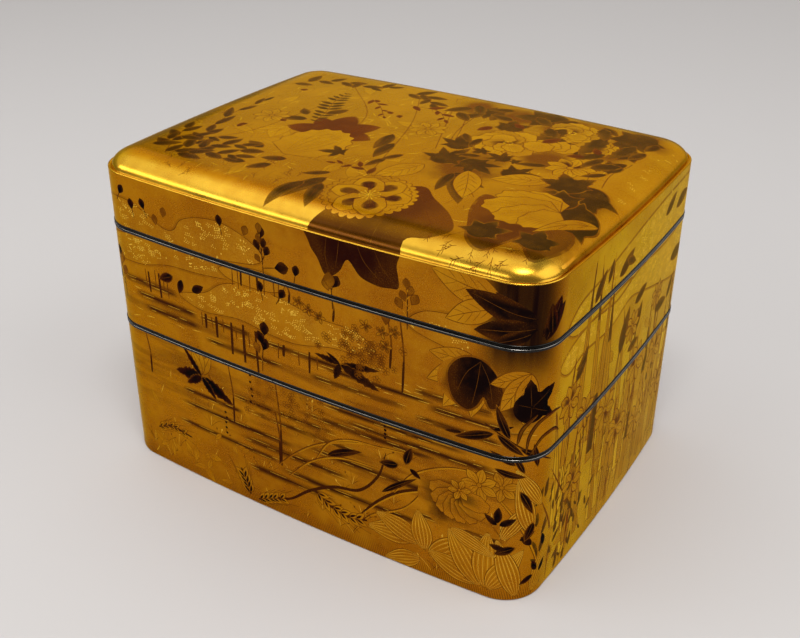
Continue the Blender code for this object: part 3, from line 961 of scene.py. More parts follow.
def draw_meadow(d):
    """Front, lower tier: toothed leaves, grasses with ears, flowers and broad ribbed leaves."""
    leaves(d, ((25, 98, 8, 20, 0.2), (25, 98, -20, 21, 0.28), (25, 98, 174, 13, 0.26), (25, 98, 250, 9, 0.5),
               (25, 98, 150, 8, 0.3)), teeth=6, rib=False)
    for heading, length in ((62, 15), (92, 16), (112, 14)):
        outline_leaf(d, complex(-57, 64), heading, length, 0.4, 0)
    leaves(d, ((-57, 63, 186, 17, 0.44), (-57, 63, 214, 12, 0.42), (-57, 63, -26, 21, 0.36),
               (-57, 63, -50, 13, 0.34), (-57, 63, 128, 18, 0.2)), teeth=7, rib=False)
    for s, high, low in ((-26, 75, 60), (-43, 48, 36), (48, 76, 68)):
        for number in range(5):
            z = high + (low - high) * number / 4
            d.add(arc(0.75, 5.6, 8), "dark", complex(s + d.dice.uniform(-0.6, 0.6), z))

    grass(d, ((-22, 4), (-6, 12), (6, 22), (20, 30), (34, 34), (44, 46), (48, 60)), 1.7)
    grass(d, ((34, 20), (44, 32), (56, 42), (72, 49), (92, 54)), 1.8)
    grass(d, ((35, 20), (45, 31.6), (57, 41.4), (73, 48.4), (93, 53.2)), 0.8, "pale")
    for points in (((-12, 30), (0, 42), (14, 52), (34, 60), (60, 64)),
                   ((10, 42), (18, 54), (30, 60), (46, 62)),
                   ((30, 8), (40, 22), (58, 34), (70, 52)), ((96, 62), (108, 48), (120, 24), (124, 6)),
                   ((-6, 26), (8, 40), (24, 48), (44, 50)), ((52, 40), (62, 54), (80, 64), (100, 66))):
        grass(d, points, 1.5, "line")
        grass(d, [(s + 0.2, z - 0.2) for s, z in points], 0.8, "pale")
    leaf(d, complex(17, 47), 32, 20, 0.2, "dark", bend=-0.12)
    leaf(d, complex(46, 38), 42, 22, 0.13, "dark", bend=-0.06)
    ear(d, curve([(8, 24), (18, 18), (28, 16), (38, 18)]), 7.0, 6, "brown")
    ear(d, curve([(-26, 3), (-18, 7), (-6, 12)]), 6.0, 5, "dark")
    ear(d, curve([(-31, 4), (-33, 10), (-36, 18)]), 7.5, 4, "dark")
    ear(d, curve([(-92, 20), (-82, 24), (-68, 23)]), 5.0, 5, "brown")

    line_flower(d, complex(103, 62), 8, 7, 0.0, 60)
    line_flower(d, complex(93, 60), 9, 7, 0.0, 30)
    halo(d, complex(79, 46), 15)
    for heading in (178, 205, 228, 250, 275, 300, 325, 352):
        frilled_petal(d, complex(84, 51), heading, 13.5, 0.6, "petal", 5)
    line_flower(d, complex(84, 54), 6, 6, 0.1, 12)
    for s, z, heading, length, width in ((64, 19, 184, 26, 0.5), (66, 17, 155, 25, 0.5),
                                         (68, 14, 100, 22, 0.5),
                                         (70, 12, 35, 26, 0.46), (66, 8, 200, 20, 0.5),
                                         (94, 6, 158, 26, 0.46),
                                         (96, 5, 124, 32, 0.42), (98, 5, 92, 32, 0.42), (99, 5, 62, 28, 0.4),
                                         (112, 2, 105, 34, 0.3), (120, 2, 72, 34, 0.3),
                                         (80, 32, 340, 24, 0.34),
                                         (104, 34, 62, 28, 0.3), (118, 36, 108, 32, 0.28),
                                         (122, 50, 120, 26, 0.26)):
        broad_leaf(d, complex(s, z), heading, length, width, 4, d.dice.uniform(-0.15, 0.15))
    cluster(d, ((54, 56, 200), (60, 56, 330), (58, 58, 80), (102, 42, 150), (103, 42, 30), (102, 43, 90),
                (110, 30, 200), (118, 30, 130), (106, 29, 170), (122, 14, 120), (124, 12, 60), (120, 12, 200),
                (112, 34, 20), (118, 42, 250), (126, 26, 100)), 8, 0.45)


# Reeds of the right end: s, z of the foot, height, lean, width and the stretches painted dark.
RIGHT_REEDS = (
    (150, 80, 76, 4, 5.0, ((0.66, 0.9),)), (163, 60, 92, -3, 5.5, ((0.66, 0.86),)),
    (166, 46, 76, 6, 7.0, ((0.05, 0.5),)),
    (177, 40, 96, -2, 8.0, ((0.62, 0.95),)), (171, 78, 70, 2, 4.5, ()),
    (186, 30, 74, 6, 5.0, ((0.78, 0.98),)),
    (196, 24, 92, -5, 6.0, ()), (207, 20, 88, 4, 6.0, ((0.7, 0.92),)), (218, 16, 76, -4, 5.5, ()),
    (228, 10, 84, 5, 6.0, ((0.55, 0.8),)), (241, 10, 94, -4, 6.0, ((0.8, 0.95),)), (252, 12, 80, 4, 5.5, ()),
    (138, 60, 56, 5, 4.5, ()), (264, 8, 100, -3, 5.5, ((0.6, 0.85),)), (158, 10, 62, -4, 4.5, ()),
    (190, 8, 60, 5, 5.0, ()), (214, 6, 58, 3, 5.0, ((0.4, 0.7),)), (146, 12, 66, 6, 4.5, ((0.3, 0.5),)),
    (176, 6, 50, -6, 5.0, ()), (236, 6, 46, 5, 4.5, ()))


def draw_right(d):
    """The right end: reeds and iris blades through drifting mist, thick small leaves towards the front."""
    d.area(box_outline((120, -1), (268, 165)), "field", (120, 80), (268, 80), 2.0)
    scratches(d, 40, (124, 2), (268, 110), 9, 0.12)
    for number in range(30):
        s, height = d.dice.uniform(128, 264), d.dice.uniform(26, 88)
        foot, lean, width = d.dice.uniform(2, 34), d.dice.uniform(-7, 7), d.dice.uniform(4.5, 9.0)
        blade(d, complex(s, foot), height, lean, width, ((0.6, 0.85),) if number % 5 == 0 else (), "bright")
    faint_leaves(d, 40, (130, 6), (270, 100), 12)
    mist(d, ((132, 130), (142, 138), (160, 141), (186, 146), (214, 150), (246, 152), (286, 150), (288, 128),
             (250, 127), (214, 124), (190, 127), (160, 125), (140, 124)), 0.16)
    mist(d, ((128, 114), (138, 121), (156, 124), (180, 122), (206, 127), (240, 126), (282, 128), (284, 104),
             (262, 100), (236, 106), (214, 112), (196, 116), (176, 111), (150, 112), (136, 108)), 0.16)
    for _ in range(16):
        s = d.dice.uniform(128, 272)
        points = ((s, 2), (s + d.dice.uniform(-6, 6), 30),
                  (s + d.dice.uniform(-16, 16), d.dice.uniform(50, 96)))
        grass(d, points, 1.2, "line", 6)
    for s, base, height, lean, width, dark in RIGHT_REEDS:
        blade(d, complex(s, base), height, lean, width, dark)
    leaves(d, ((191, 90, 78, 22), (204, 110, 15, 14), (207, 92, 60, 16), (202, 86, 10, 12),
               (236, 92, 350, 16),
               (252, 112, 5, 18), (254, 90, 60, 12), (234, 142, 20, 14), (180, 134, 20, 16),
               (144, 100, 48, 16),
               (152, 108, 200, 9), (228, 60, 70, 12), (188, 138, 340, 10), (250, 140, 20, 16),
               (156, 132, 60, 14),
               (168, 136, 70, 10)), sway=0.15, ink="umber", rib=False)
    for s, z, size in ((140, 92, 10), (216, 72, 12), (244, 66, 11), (180, 66, 12), (156, 78, 10),
                       (226, 34, 11),
                       (198, 46, 12), (256, 40, 10), (150, 44, 10), (204, 98, 9), (236, 100, 8)):
        line_flower(d, complex(s, z), size, 8, 0.12, d.dice.uniform(0, 40), LINE * 1.8)
        d.stroke(curve([(s, z - 2), (s + 2, z - 20), (s - 1, z - 38)]), LINE * 2.4, "line", 0.4)
    for _ in range(52):
        s = 119 + 52 * d.dice.random() ** 1.5
        z = d.dice.uniform(3, 62) * (1 - 0.5 * (s - 118) / 52)
        leaf(d, complex(s, z), d.dice.gauss(80, 28), d.dice.uniform(4.5, 9.0), 0.34, "umber", rib=False)
    spray(d, curve([(150, 50), (155, 62), (160, 72)]), 8, 5, 0.3, "umber", 30)
    spray(d, curve([(134, 40), (140, 52), (148, 60)]), 8, 5, 0.3, "umber", 30)


def draw_hidden_side(d, middle, reach):
    """A hidden side, in keeping and plainer: mist, water, a few reeds and sprigs."""
    def spread(points):
        return [(middle + share * reach, z) for share, z in points]

    scratches(d, int(reach * 0.8), (middle - reach, 2), (middle + reach, 106), 7, 0.4)
    for start, stop, z in ((-0.9, -0.4, 96), (-0.3, 0.3, 91), (0.35, 0.9, 98), (-0.7, -0.1, 66),
                           (0.1, 0.8, 60),
                           (-1.0, -0.6, 48), (-0.2, 0.4, 42), (0.5, 1.0, 50), (-0.6, 0.1, 30),
                           (0.3, 0.9, 24)):
        streak(d, middle + start * reach, middle + stop * reach, z)
    mist(d, spread(((-1.1, 132), (-0.9, 143), (-0.6, 146), (-0.3, 141), (0.0, 138), (0.3, 142), (0.7, 145),
                    (1.1, 140), (1.1, 127), (0.6, 129), (0.2, 126), (-0.2, 130), (-0.7, 126), (-1.1, 127))),
         0.025)
    mist(d, spread(((-0.75, 114), (-0.5, 119), (-0.2, 118), (0.1, 114), (0.3, 109), (0.1, 105), (-0.2, 107),
                    (-0.5, 104), (-0.72, 108))), 0.025)
    for share, low, height, lean in ((-0.82, 6, 80, 5), (-0.74, 6, 66, -4), (0.7, 6, 86, -5),
                                     (0.78, 8, 70, 4),
                                     (0.86, 8, 52, 3)):
        blade(d, complex(middle + share * reach, low), height, lean, 5.0, ((0.6, 0.85),))
    bud_spray(d, complex(middle - 0.2 * reach, 124), 20, 2, 5, 6)
    bud_spray(d, complex(middle + 0.4 * reach, 78), 22, -2, 5, 6)
    lobed_leaf(d, complex(middle - 0.5 * reach, 60), 200, 13, **VINE)
    lobed_leaf(d, complex(middle + 0.2 * reach, 88), 160, 12, **IVY)
    spray(d, curve(spread(((-0.1, 10), (0.04, 34), (0.1, 58)))), 7, 11)
    grass(d, spread(((0.3, 4), (0.44, 24), (0.66, 36))), 1.4)


def draw_wall():
    """One drawing for the whole wall, so that plants cross the rims."""
    d = Drawing(5)
    half = plan.length / 2
    d.add(box_outline((-half - 1, -1), (half + 1, HATCH_TOP)), "hatch")
    for middle in (-half, half):
        draw_hidden_side(d, middle, 104)
    draw_hidden_side(d, -half / 2, 76)
    draw_water(d)
    draw_right(d)
    draw_meadow(d)
    draw_buds(d)
    draw_corner_leaves(d)
    return d


# Cutting a drawing into a skin.

def compose(drawing, outline, guides, within):
    """Cuts all shapes along one another. Returns flat points, triangles and the topmost shape of each."""
    low = complex(outline.real.min(), outline.imag.min())
    high = complex(outline.real.max(), outline.imag.max())
    kept = [{"points": outline, "ink": "ground", "at": 0j, "turn": 100 + 0j, "width": 1.0, "tone": 0.5}]
    for shape in drawing.shapes:
        x, y = shape["points"].real, shape["points"].imag
        if x.max() > low.real and x.min() < high.real and y.max() > low.imag and y.min() < high.imag:
            kept.append(shape)
    points, edges = [], []
    lines = [np.append(shape["points"], shape["points"][0]) for shape in kept]
    for line in lines + guides:
        first = len(points)
        points.extend(Vector((z.real, z.imag)) for z in line)
        edges.extend((n, n + 1) for n in range(first, len(points) - 1))
    places, _, triangles, _, _, _ = delaunay_2d_cdt(points, edges, [], 0, 1e-4, False)
    flat = np.array([complex(v.x, v.y) for v in places])
    triangles = np.array(triangles)
    middle = flat[triangles].mean(1)
    inside = within(middle)
    triangles, middle = triangles[inside], middle[inside]
    order = np.argsort(middle.real)
    sorted_x = middle.real[order]
    top = np.zeros(len(middle), int)
    for number, shape in enumerate(kept[1:], 1):
        p = shape["points"]
        near = order[np.searchsorted(sorted_x, p.real.min()):np.searchsorted(sorted_x, p.real.max())]
        near = near[(middle.imag[near] > p.imag.min()) & (middle.imag[near] < p.imag.max())]
        top[near[covered(p, middle[near])]] = number
    used, triangles = np.unique(triangles, return_inverse=True)
    return flat[used], triangles.reshape(-1, 3), top, kept


def lift_wall(flat):
    """Places and normals on the outside wall of points (s, z)."""
    point, normal = plan.at(flat.real)
    places = np.column_stack((point, flat.imag))
    return places, np.column_stack((normal, np.zeros(len(flat))))


def lift_top(flat):
    """Places and normals on the lid's top of points (x, y)."""
    x, y, step = flat.real, flat.imag, 0.02
    inside = plan.depth(x, y) < BEAD_WIDTH + GROOVE_WIDTH + 0.05
    pull = np.where(inside, 0.995, 1.0)
    height = lid_height(x, y)
    slope_x = (lid_height(x * pull + step, y * pull) - lid_height(x * pull - step, y * pull)) / (2 * step)
    slope_y = (lid_height(x * pull, y * pull + step) - lid_height(x * pull, y * pull - step)) / (2 * step)
    normal = np.column_stack((-slope_x, -slope_y, np.ones(len(flat))))
    return np.column_stack((x, y, height)), normal / np.linalg.norm(normal, axis=1)[:, None]


def corner_middles():
    """Distances round the outline at the middle of each corner, from the front right one on."""
    first = plan.front_length + plan.corner_length / 2
    return (first, 2 * plan.quarter - first, 2 * plan.quarter + first, 4 * plan.quarter - first)


def wall_map(flat_corners, middle, low, high):
    """Bake map of a wall: one row for each side of the box."""
    cuts = np.array(corner_middles())
    side = np.searchsorted(cuts, np.mod(middle.real, plan.length)) % 4
    starts = np.array((cuts[3] - plan.length, cuts[0], cuts[1], cuts[2]))
    longest = max(cuts[0] * 2, cuts[1] - cuts[0])
    row = high - low + 2.0
    size = max(longest + 2.0, row * 4)
    s = flat_corners.real - np.round((flat_corners.real - middle.real[:, None]) / plan.length) * plan.length
    base = np.mod(middle.real, plan.length)
    base = np.where((side == 0) & (base > plan.length / 2), base - plan.length, base)
    u = s - middle.real[:, None] + base[:, None] - starts[side][:, None] + 1.0
    v = flat_corners.imag - low + 1.0 + (row * side)[:, None]
    return np.stack((u, v), -1) / size


def top_map(flat_corners, middle, low, high):
    """Bake map of the top: its plan."""
    size = 2 * HALF_WIDTH + 2
    return np.stack((flat_corners.real + size / 2, flat_corners.imag + HALF_DEPTH + 1), -1) / size


def skin(name, drawing, outline, guides, within, lift, bake_map, low=0.0, high=0.0):
    """Mesh object of one decorated surface, with a material for each ink."""
    flat, triangles, top, shapes = compose(drawing, outline, guides, within)
    places, normals = lift(flat)
    mesh = bpy.data.meshes.new(name)
    mesh.from_pydata(places * MM, [], triangles)
    number_of = {ink: number for number, ink in enumerate(INK_LOOKS)}
    ink, tone, at, turn, width = (np.array([shape[key] for shape in shapes])[top]
                                  for key in ("ink", "tone", "at", "turn", "width"))
    mesh.polygons.foreach_set("material_index", np.array([number_of[each] for each in ink], np.int32))
    corners = flat[triangles]
    motif = (corners - at[:, None]) / turn[:, None]
    motif = np.stack((motif.real, motif.imag / width[:, None]), -1)
    baked = bake_map(corners, corners.mean(1), low, high)
    in_metres = np.stack((corners.real, corners.imag), -1) * MM
    for layer, values in (("OFBake", baked), ("motif", motif), ("flat", in_metres)):
        mesh.uv_layers.new(name=layer).uv.foreach_set("vector", values.astype(np.float32).ravel())
    tones = mesh.attributes.new("tone", "FLOAT", "FACE")
    tones.data.foreach_set("value", tone.astype(np.float32))
    mesh.shade_smooth()
    mesh.normals_split_custom_set_from_vertices(normals)
    piece = bpy.data.objects.new(name, mesh)
    bpy.context.scene.collection.objects.link(piece)
    for each in INK_LOOKS:
        mesh.materials.append(ink_material(each))
    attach(piece, "root")


def wall_skin(name, drawing, low, high):
    """The decorated wall between two heights, all round."""
    half = plan.length / 2
    stations = plan.stations()
    stations = np.concatenate((stations[stations < half - 0.01],
                               stations[stations >= half - 0.01] - plan.length))
    stations = np.sort(stations)
    bottom = stations + 1j * low
    upper = np.append(stations, half)[::-1] + 1j * high
    outline = np.concatenate((bottom, [complex(half, low)], upper))
    cuts = [s if s < half else s - plan.length for s in corner_middles()]
    guides = [np.array((complex(s, low), complex(s, high))) for s in np.concatenate((stations[1:], cuts))]

    def within(spots):
        return (np.abs(spots.real) < half) & (spots.imag > low) & (spots.imag < high)

    skin(name, drawing, outline, guides, within, lift_wall, wall_map, low, high)


def ring_points(inset, stations):
    """The outline moved inwards, as flat points."""
    point, _ = plan.at(stations, inset)
    return point[:, 0] + 1j * point[:, 1]


def top_skin(name, drawing):
    """The decorated top of the lid, with rings of points round its shoulder."""
    stations = plan.stations(corner_step=2.2, side_step=14.0)
    start = BEAD_WIDTH + GROOVE_WIDTH
    outline = ring_points(start, plan.stations(corner_step=1.2, side_step=9.0))
    guides = []
    for turn in np.radians((8, 16, 24, 33, 42, 52, 62, 74, 88)):
        ring = ring_points(start + SHOULDER_RUN * (1 - math.cos(turn)), stations)
        guides.append(np.append(ring, ring[0]))
    guides += [guides[-1] * share for share in (0.8, 0.55, 0.3)]

    def within(spots):
        return covered(outline, spots)

    skin(name, drawing, outline, guides, within, lift_top, top_map)


def lathe(name, profile, material, closed=False, fill=()):
    """A smooth form with the plan's outline: a section of (inset, height) carried round.

    fill names the rings, first or last, that are closed with a flat face.
    """
    stations = plan.stations(corner_step=1.3, side_step=9.0)
    count = len(stations)
    places = []
    for inset, height in profile:
        ring = ring_points(inset, stations)
        places.append(np.column_stack((ring.real, ring.imag, np.full(count, height))))
    faces = []
    rows = len(profile) if closed else len(profile) - 1
    for row in range(rows):
        low, high = row * count, ((row + 1) % len(profile)) * count
        for n in range(count):
            faces.append((low + n, low + (n + 1) % count, high + (n + 1) % count, high + n))
    if "first" in fill:
        faces.append(tuple(range(count))[::-1])
    if "last" in fill:
        faces.append(tuple(range((len(profile) - 1) * count, len(profile) * count)))
    mesh = bpy.data.meshes.new(name)
    mesh.from_pydata(np.concatenate(places) * MM, [], faces)
    mesh.shade_smooth()
    mesh.set_sharp_from_angle(angle=math.radians(40))
    mesh.materials.append(material)
    piece = bpy.data.objects.new(name, mesh)
    bpy.context.scene.collection.objects.link(piece)
    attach(piece, "root")
    return piece


# Materials.

GOLD_DEEP = (0.35, 0.108, 0.001, 1)
GOLD = (0.45, 0.158, 0.002, 1)
GOLD_LIGHT = (0.60, 0.27, 0.006, 1)
GOLD_PALE = (0.74, 0.45, 0.04, 1)
GOLD_BRIGHT = (0.92, 0.58, 0.07, 1)
GOLD_BURNT = (0.25, 0.070, 0.001, 1)
GOLD_EDGE = (1.0, 0.88, 0.35, 1)
LACQUER_BLACK = (0.005, 0.001, 0.001, 1)
LACQUER_BROWN = (0.055, 0.013, 0.001, 1)
UMBER_DEEP = (0.048, 0.024, 0.002, 1)
UMBER_LIGHT = (0.18, 0.074, 0.002, 1)
UMBER_EDGE = (0.75, 0.55, 0.18, 1)
WATER_BROWN = (0.16, 0.038, 0.001, 1)
LINE_BROWN = (0.13, 0.034, 0.001, 1)
VEIN_BROWN = (0.12, 0.036, 0.002, 1)
LINE_GOLD = (0.80, 0.46, 0.04, 1)
REED_GOLD = (0.86, 0.54, 0.05, 1)
BROWN_EDGE = (0.75, 0.45, 0.14, 1)
DARK_EDGE = (0.30, 0.20, 0.14, 1)
PEWTER_EDGE = (0.8, 0.8, 0.8, 1)
BROWN_DEEP = (0.024, 0.003, 0.001, 1)
BROWN_LIGHT = (0.055, 0.012, 0.001, 1)
RUSSET_DEEP = (0.115, 0.044, 0.003, 1)
RUSSET_LIGHT = (0.19, 0.072, 0.003, 1)
# Colour of the painted dark reflection at the right front corner.
DARK_REFLECTION_BROWN = (0.008, 0.001, 0.001, 1)
HALO_BROWN = (0.035, 0.007, 0.001, 1)
HAZE_BROWN = (0.12, 0.043, 0.001, 1)
BURN_BROWN = (0.10, 0.024, 0.001, 1)
CORE_BROWN = (0.040, 0.009, 0.001, 1)
INSIDE_DEEP = (0.05, 0.012, 0.003, 1)
INSIDE_LIGHT = (0.12, 0.032, 0.004, 1)
# Pewter as its dark, its highlit and its scratched colour: a highlit copy and a darker copy as painted shade.
PEWTER_HIGHLIT = ((0.026, 0.024, 0.023, 1), (0.22, 0.21, 0.2, 1), (0.17, 0.16, 0.155, 1))
PEWTER_IN_SHADE = ((0.008, 0.007, 0.006, 1), (0.03, 0.028, 0.026, 1), (0.06, 0.058, 0.055, 1))


# Inks with less red than this also turn the gold's bright edges brown.
DARK_INK = 0.3


class Shader:
    """A Principled material under construction."""

    def __init__(self, name, metallic=1.0, coat=0.06, coat_roughness=0.08):
        self.material = bpy.data.materials.new(name)
        self.material.use_nodes = True
        self.tree = self.material.node_tree
        self.surface = self.tree.nodes["Principled BSDF"]
        self.surface.inputs["Metallic"].default_value = metallic
        self.surface.inputs["Specular Tint"].default_value = GOLD_EDGE
        self.surface.inputs["Coat Weight"].default_value = coat
        self.surface.inputs["Coat Roughness"].default_value = coat_roughness
        self.coordinates = None

    def node(self, kind, **settings):
        """A new node with its settings."""
        made = self.tree.nodes.new(kind)
        for key, value in settings.items():
            setattr(made, key, value)
        return made

    def link(self, source, target):
        self.tree.links.new(source, target)

    def value(self, target, given):
        """Sets a socket to a constant or links it to an output."""
        if isinstance(given, (int, float, tuple)):
            target.default_value = given
        else:
            self.link(given, target)

    def math(self, operation, first, second=0.0, clamp=False):
        made = self.node("ShaderNodeMath", operation=operation, use_clamp=clamp)
        for socket, given in zip(made.inputs, (first, second)):
            self.value(socket, given)
        return made.outputs[0]

    def times(self, product, *others):
        for other in others:
            product = self.math("MULTIPLY", product, other)
        return product

    def off_middle(self, given, middle=0.0):
        """How far a value is from a middle, on either side."""
        return self.math("ABSOLUTE", self.math("SUBTRACT", given, middle) if middle else given)

    def mix(self, amount, first, second):
        """A colour between two."""
        made = self.node("ShaderNodeMix", data_type="RGBA", clamp_factor=True)
        self.value(made.inputs["Factor"], amount)
        self.value(made.inputs["A"], first)
        self.value(made.inputs["B"], second)
        return made.outputs["Result"]

    def spread(self, given, low, high, to_low=0.0, to_high=1.0, smooth=True):
        """Maps a value from one range to another, smoothly and clamped."""
        made = self.node("ShaderNodeMapRange", interpolation_type="SMOOTHSTEP" if smooth else "LINEAR")
        self.value(made.inputs["Value"], given)
        for name, number in (("From Min", low), ("From Max", high), ("To Min", to_low), ("To Max", to_high)):
            made.inputs[name].default_value = number
        return made.outputs["Result"]

    def place(self):
        """Where the point lies on the object."""
        if self.coordinates is None:
            self.coordinates = self.node("ShaderNodeTexCoord").outputs["Object"]
        return self.coordinates

    def axis(self, name):
        split = self.node("ShaderNodeSeparateXYZ")
        self.link(self.place(), split.inputs["Vector"])
        return split.outputs[name]

    def normal_up(self):
        """How far the surface faces up, from 0 on a wall to 1 on a floor."""
        split = self.node("ShaderNodeSeparateXYZ")
        self.link(self.node("ShaderNodeNewGeometry").outputs["Normal"], split.inputs["Vector"])
        return split.outputs["Z"]

    def noise(self, scale, detail=3.0, stretch=None, roughness=0.5):
        """Cloudy noise from 0 to 1, stretched along the axes if asked."""
        made = self.node("ShaderNodeTexNoise")
        made.inputs["Scale"].default_value = scale
        made.inputs["Detail"].default_value = detail
        made.inputs["Roughness"].default_value = roughness
        place = self.place()
        if stretch is not None:
            mapping = self.node("ShaderNodeMapping")
            mapping.inputs["Scale"].default_value = stretch
            self.link(place, mapping.inputs["Vector"])
            place = mapping.outputs["Vector"]
        self.link(place, made.inputs["Vector"])
        return made.outputs["Fac"]

    def patches(self, scale, low, high, detail=3.0, floor=0.3, ceiling=0.6, **look):
        """Noise with values from low to high, cut off at a floor and a ceiling."""
        return self.spread(self.noise(scale, detail, **look), floor, ceiling, low, high)

    def map(self, name):
        """The two numbers of a named map, as separate values."""
        made = self.node("ShaderNodeUVMap", uv_map=name)
        split = self.node("ShaderNodeSeparateXYZ")
        self.link(made.outputs["UV"], split.inputs["Vector"])
        return split.outputs["X"], split.outputs["Y"]

    def tone(self):
        """The shape's own tone, from 0 to 1."""
        made = self.node("ShaderNodeAttribute", attribute_name="tone")
        return made.outputs["Fac"]

    def finish(self, colour, roughness, bump=None, depth=0.02):
        """Sets colour, roughness and a fine bump of a depth in millimetres. Returns the material."""
        self.value(self.surface.inputs["Base Color"], colour)
        self.value(self.surface.inputs["Roughness"], roughness)
        if bump is not None:
            node = self.node("ShaderNodeBump")
            node.inputs["Strength"].default_value = 0.35
            node.inputs["Distance"].default_value = depth * MM
            self.link(bump, node.inputs["Height"])
            self.link(node.outputs["Normal"], self.surface.inputs["Normal"])
        return self.material


# Where the walls are shaded as water: it comes in over the first heights, goes over the next ones, and
# ends at the corner of the right end.
WATER_COMES = (18 * MM, 55 * MM)
WATER_GOES = (90 * MM, 112 * MM)
WATER_ENDS = (100 * MM, 117 * MM)
# Where the painted highlight on the shoulder fades out, from the front edge backwards.
HIGHLIGHT_FADES = (-76 * MM, -58 * MM)
# Where the mist turns paler, round the right corner.
MIST_TURNS = (104 * MM, 116 * MM)


def water_shade(shader):
    """How far the gold is shaded brown in level streaks, low on the walls and not on the right end."""
    height = shader.axis("Z")
    band = shader.times(shader.spread(height, *WATER_COMES), shader.spread(height, *WATER_GOES, 1.0, 0.0),
                        shader.spread(shader.axis("X"), *WATER_ENDS, 1.0, 0.0))
    streaks = shader.noise(150.0, 4.0, (0.12, 0.12, 1.0), 0.6)
    return shader.times(band, shader.spread(streaks, 0.44, 0.68, 0.0, 0.65))


def painted_shoulder_highlight(shader):
    """How far the gold is painted paler as a highlight, where the lid's shoulder turns from its top to its
    wall.
    """
    slope = shader.normal_up()
    return shader.times(shader.spread(slope, 0.1, 0.4), shader.spread(slope, 0.9, 0.99, 1.0, 0.0),
                        shader.spread(shader.axis("Y"), *HIGHLIGHT_FADES, 1.0, 0.15),
                        shader.patches(90.0, 0.55, 0.85, 4.0, ceiling=0.7))


def gold_colour(shader):
    """Sprinkled gold powder under amber lacquer: drifts, fine grain, worn browner patches, painted shoulder
    highlight.
    """
    drift = shader.noise(16.0, 4.0)
    cloud = shader.noise(62.0, 5.0, roughness=0.6)
    grain = shader.noise(2600.0, 2.0)
    burn = shader.noise(27.0, 6.0, roughness=0.62)
    base = shader.mix(shader.spread(drift, 0.34, 0.66), GOLD_DEEP, GOLD)
    base = shader.mix(shader.spread(burn, 0.52, 0.74, 0.0, 0.5), base, GOLD_BURNT)
    base = shader.mix(shader.spread(cloud, 0.42, 0.72, 0.0, 0.4), base, GOLD_LIGHT)
    base = shader.mix(water_shade(shader), base, WATER_BROWN)
    # Painted highlight: paler gold on the lid's shoulder, most at the front.
    base = shader.mix(painted_shoulder_highlight(shader), base, GOLD_PALE)
    return shader.mix(shader.spread(grain, 0.5, 0.78, 0.0, 0.3), base, GOLD_PALE), cloud, grain


def gold_roughness(shader, cloud, grain, low=0.24, high=0.34):
    """Roughness that follows the powder's clouds and grain."""
    both = shader.math("ADD", shader.times(cloud, 0.7), shader.times(grain, 0.3))
    return shader.spread(both, 0.35, 0.65, low, high)


def ink_over_gold(s, amount, ink, low=0.24, high=0.34):
    """Colour and roughness of an ink that covers the gold by an amount."""
    colour, cloud, grain = gold_colour(s)
    if ink[0] < DARK_INK:
        s.value(s.surface.inputs["Specular Tint"], s.mix(amount, GOLD_EDGE, BROWN_EDGE))
    return s.mix(amount, colour, ink), gold_roughness(s, cloud, grain, low, high)


def broken_ink(ink, low, high, scale=300.0, floor=0.3, ceiling=0.6):
    """A look for fine lines and margins: one ink that covers the gold more or less from place to place."""
    return lambda s: ink_over_gold(s, s.patches(scale, low, high, floor=floor, ceiling=ceiling), ink)


def ink_leaf(deep, light, shine, edge_tint=BROWN_EDGE, painted_shoulder_shade=0.0):
    """A look for painted leaves: deep in the middle, with lighter edges where gold shines through."""

    def look(s):
        u, v = s.map("motif")
        away = s.math("SQRT", s.math("ADD", s.times(u, u), s.times(v, v, 4.0)))
        warm = s.math("ADD", s.spread(s.off_middle(v), 0.2, 0.5, 0.0, 0.3),
                      s.patches(140.0, 0.0, 0.4, 4.0, 0.42, 0.72))
        warm = s.math("ADD", warm, s.spread(away, 0.55, 1.05, 0.0, 0.7), clamp=True)
        colour, cloud, grain = gold_colour(s)
        show = s.times(s.spread(grain, 0.5, 0.8, 0.0, shine), warm)
        s.surface.inputs["Specular Tint"].default_value = edge_tint
        paint = s.mix(show, s.mix(warm, deep, light), colour)
        # Painted shade: the leaf darker where it turns over the lid's shoulder.
        if painted_shoulder_shade:
            paint = s.mix(s.spread(s.normal_up(), 0.8, 0.98, painted_shoulder_shade, 0.0), paint, LACQUER_BROWN)
        return paint, gold_roughness(s, cloud, grain)

    return look


def ink_ground(s):
    """The bare gold."""
    colour, cloud, grain = gold_colour(s)
    return colour, gold_roughness(s, cloud, grain)


def ink_pale(s):
    """Leaves and petals that are only drawn in line: a lighter gold, deeper towards the base."""
    u, v = s.map("motif")
    amount = s.times(s.spread(u, 0.0, 0.9, 0.1, 0.75), s.patches(120.0, 0.4, 1.0, ceiling=0.7))
    return ink_over_gold(s, amount, GOLD_LIGHT)


def ink_petal(s):
    """Petals shaded dark from the base, fading to gold before the rim."""
    u, v = s.map("motif")
    along = s.spread(s.math("ADD", u, s.times(s.noise(180.0, 2.0), 0.3)), 0.5, 0.95, 1.0, 0.0)
    across = s.spread(s.off_middle(v), 0.1, 0.42, 1.0, 0.0)
    return ink_over_gold(s, s.times(along, across, s.spread(s.tone(), 0.0, 1.0, 0.6, 1.0)), UMBER_DEEP)


def ink_heart(s):
    """Dark hearts of the big flower's petals, soft at the edge."""
    u, v = s.map("motif")
    along = s.times(s.spread(u, 0.0, 0.35), s.spread(u, 1.0, 0.8, 0.3, 1.0))
    across = s.spread(s.off_middle(v), 0.24, 0.5, 1.0, 0.25)
    return ink_over_gold(s, s.times(along, across, s.patches(160.0, 0.7, 1.0)), UMBER_DEEP)


def ink_mist(s):
    """Mist: denser, paler gold powder, palest on the right end's walls."""
    powder = s.patches(2100.0, 0.0, 1.0, 2.0, 0.4, 0.7)
    end = s.times(s.spread(s.axis("X"), *MIST_TURNS, 0.0, 0.45), s.spread(s.normal_up(), 0.1, 0.4, 1.0, 0.0))
    drift = s.patches(45.0, 0.05, 0.3, ceiling=0.7)
    return ink_over_gold(s, s.math("ADD", s.times(powder, drift), end), GOLD_PALE, 0.26, 0.38)


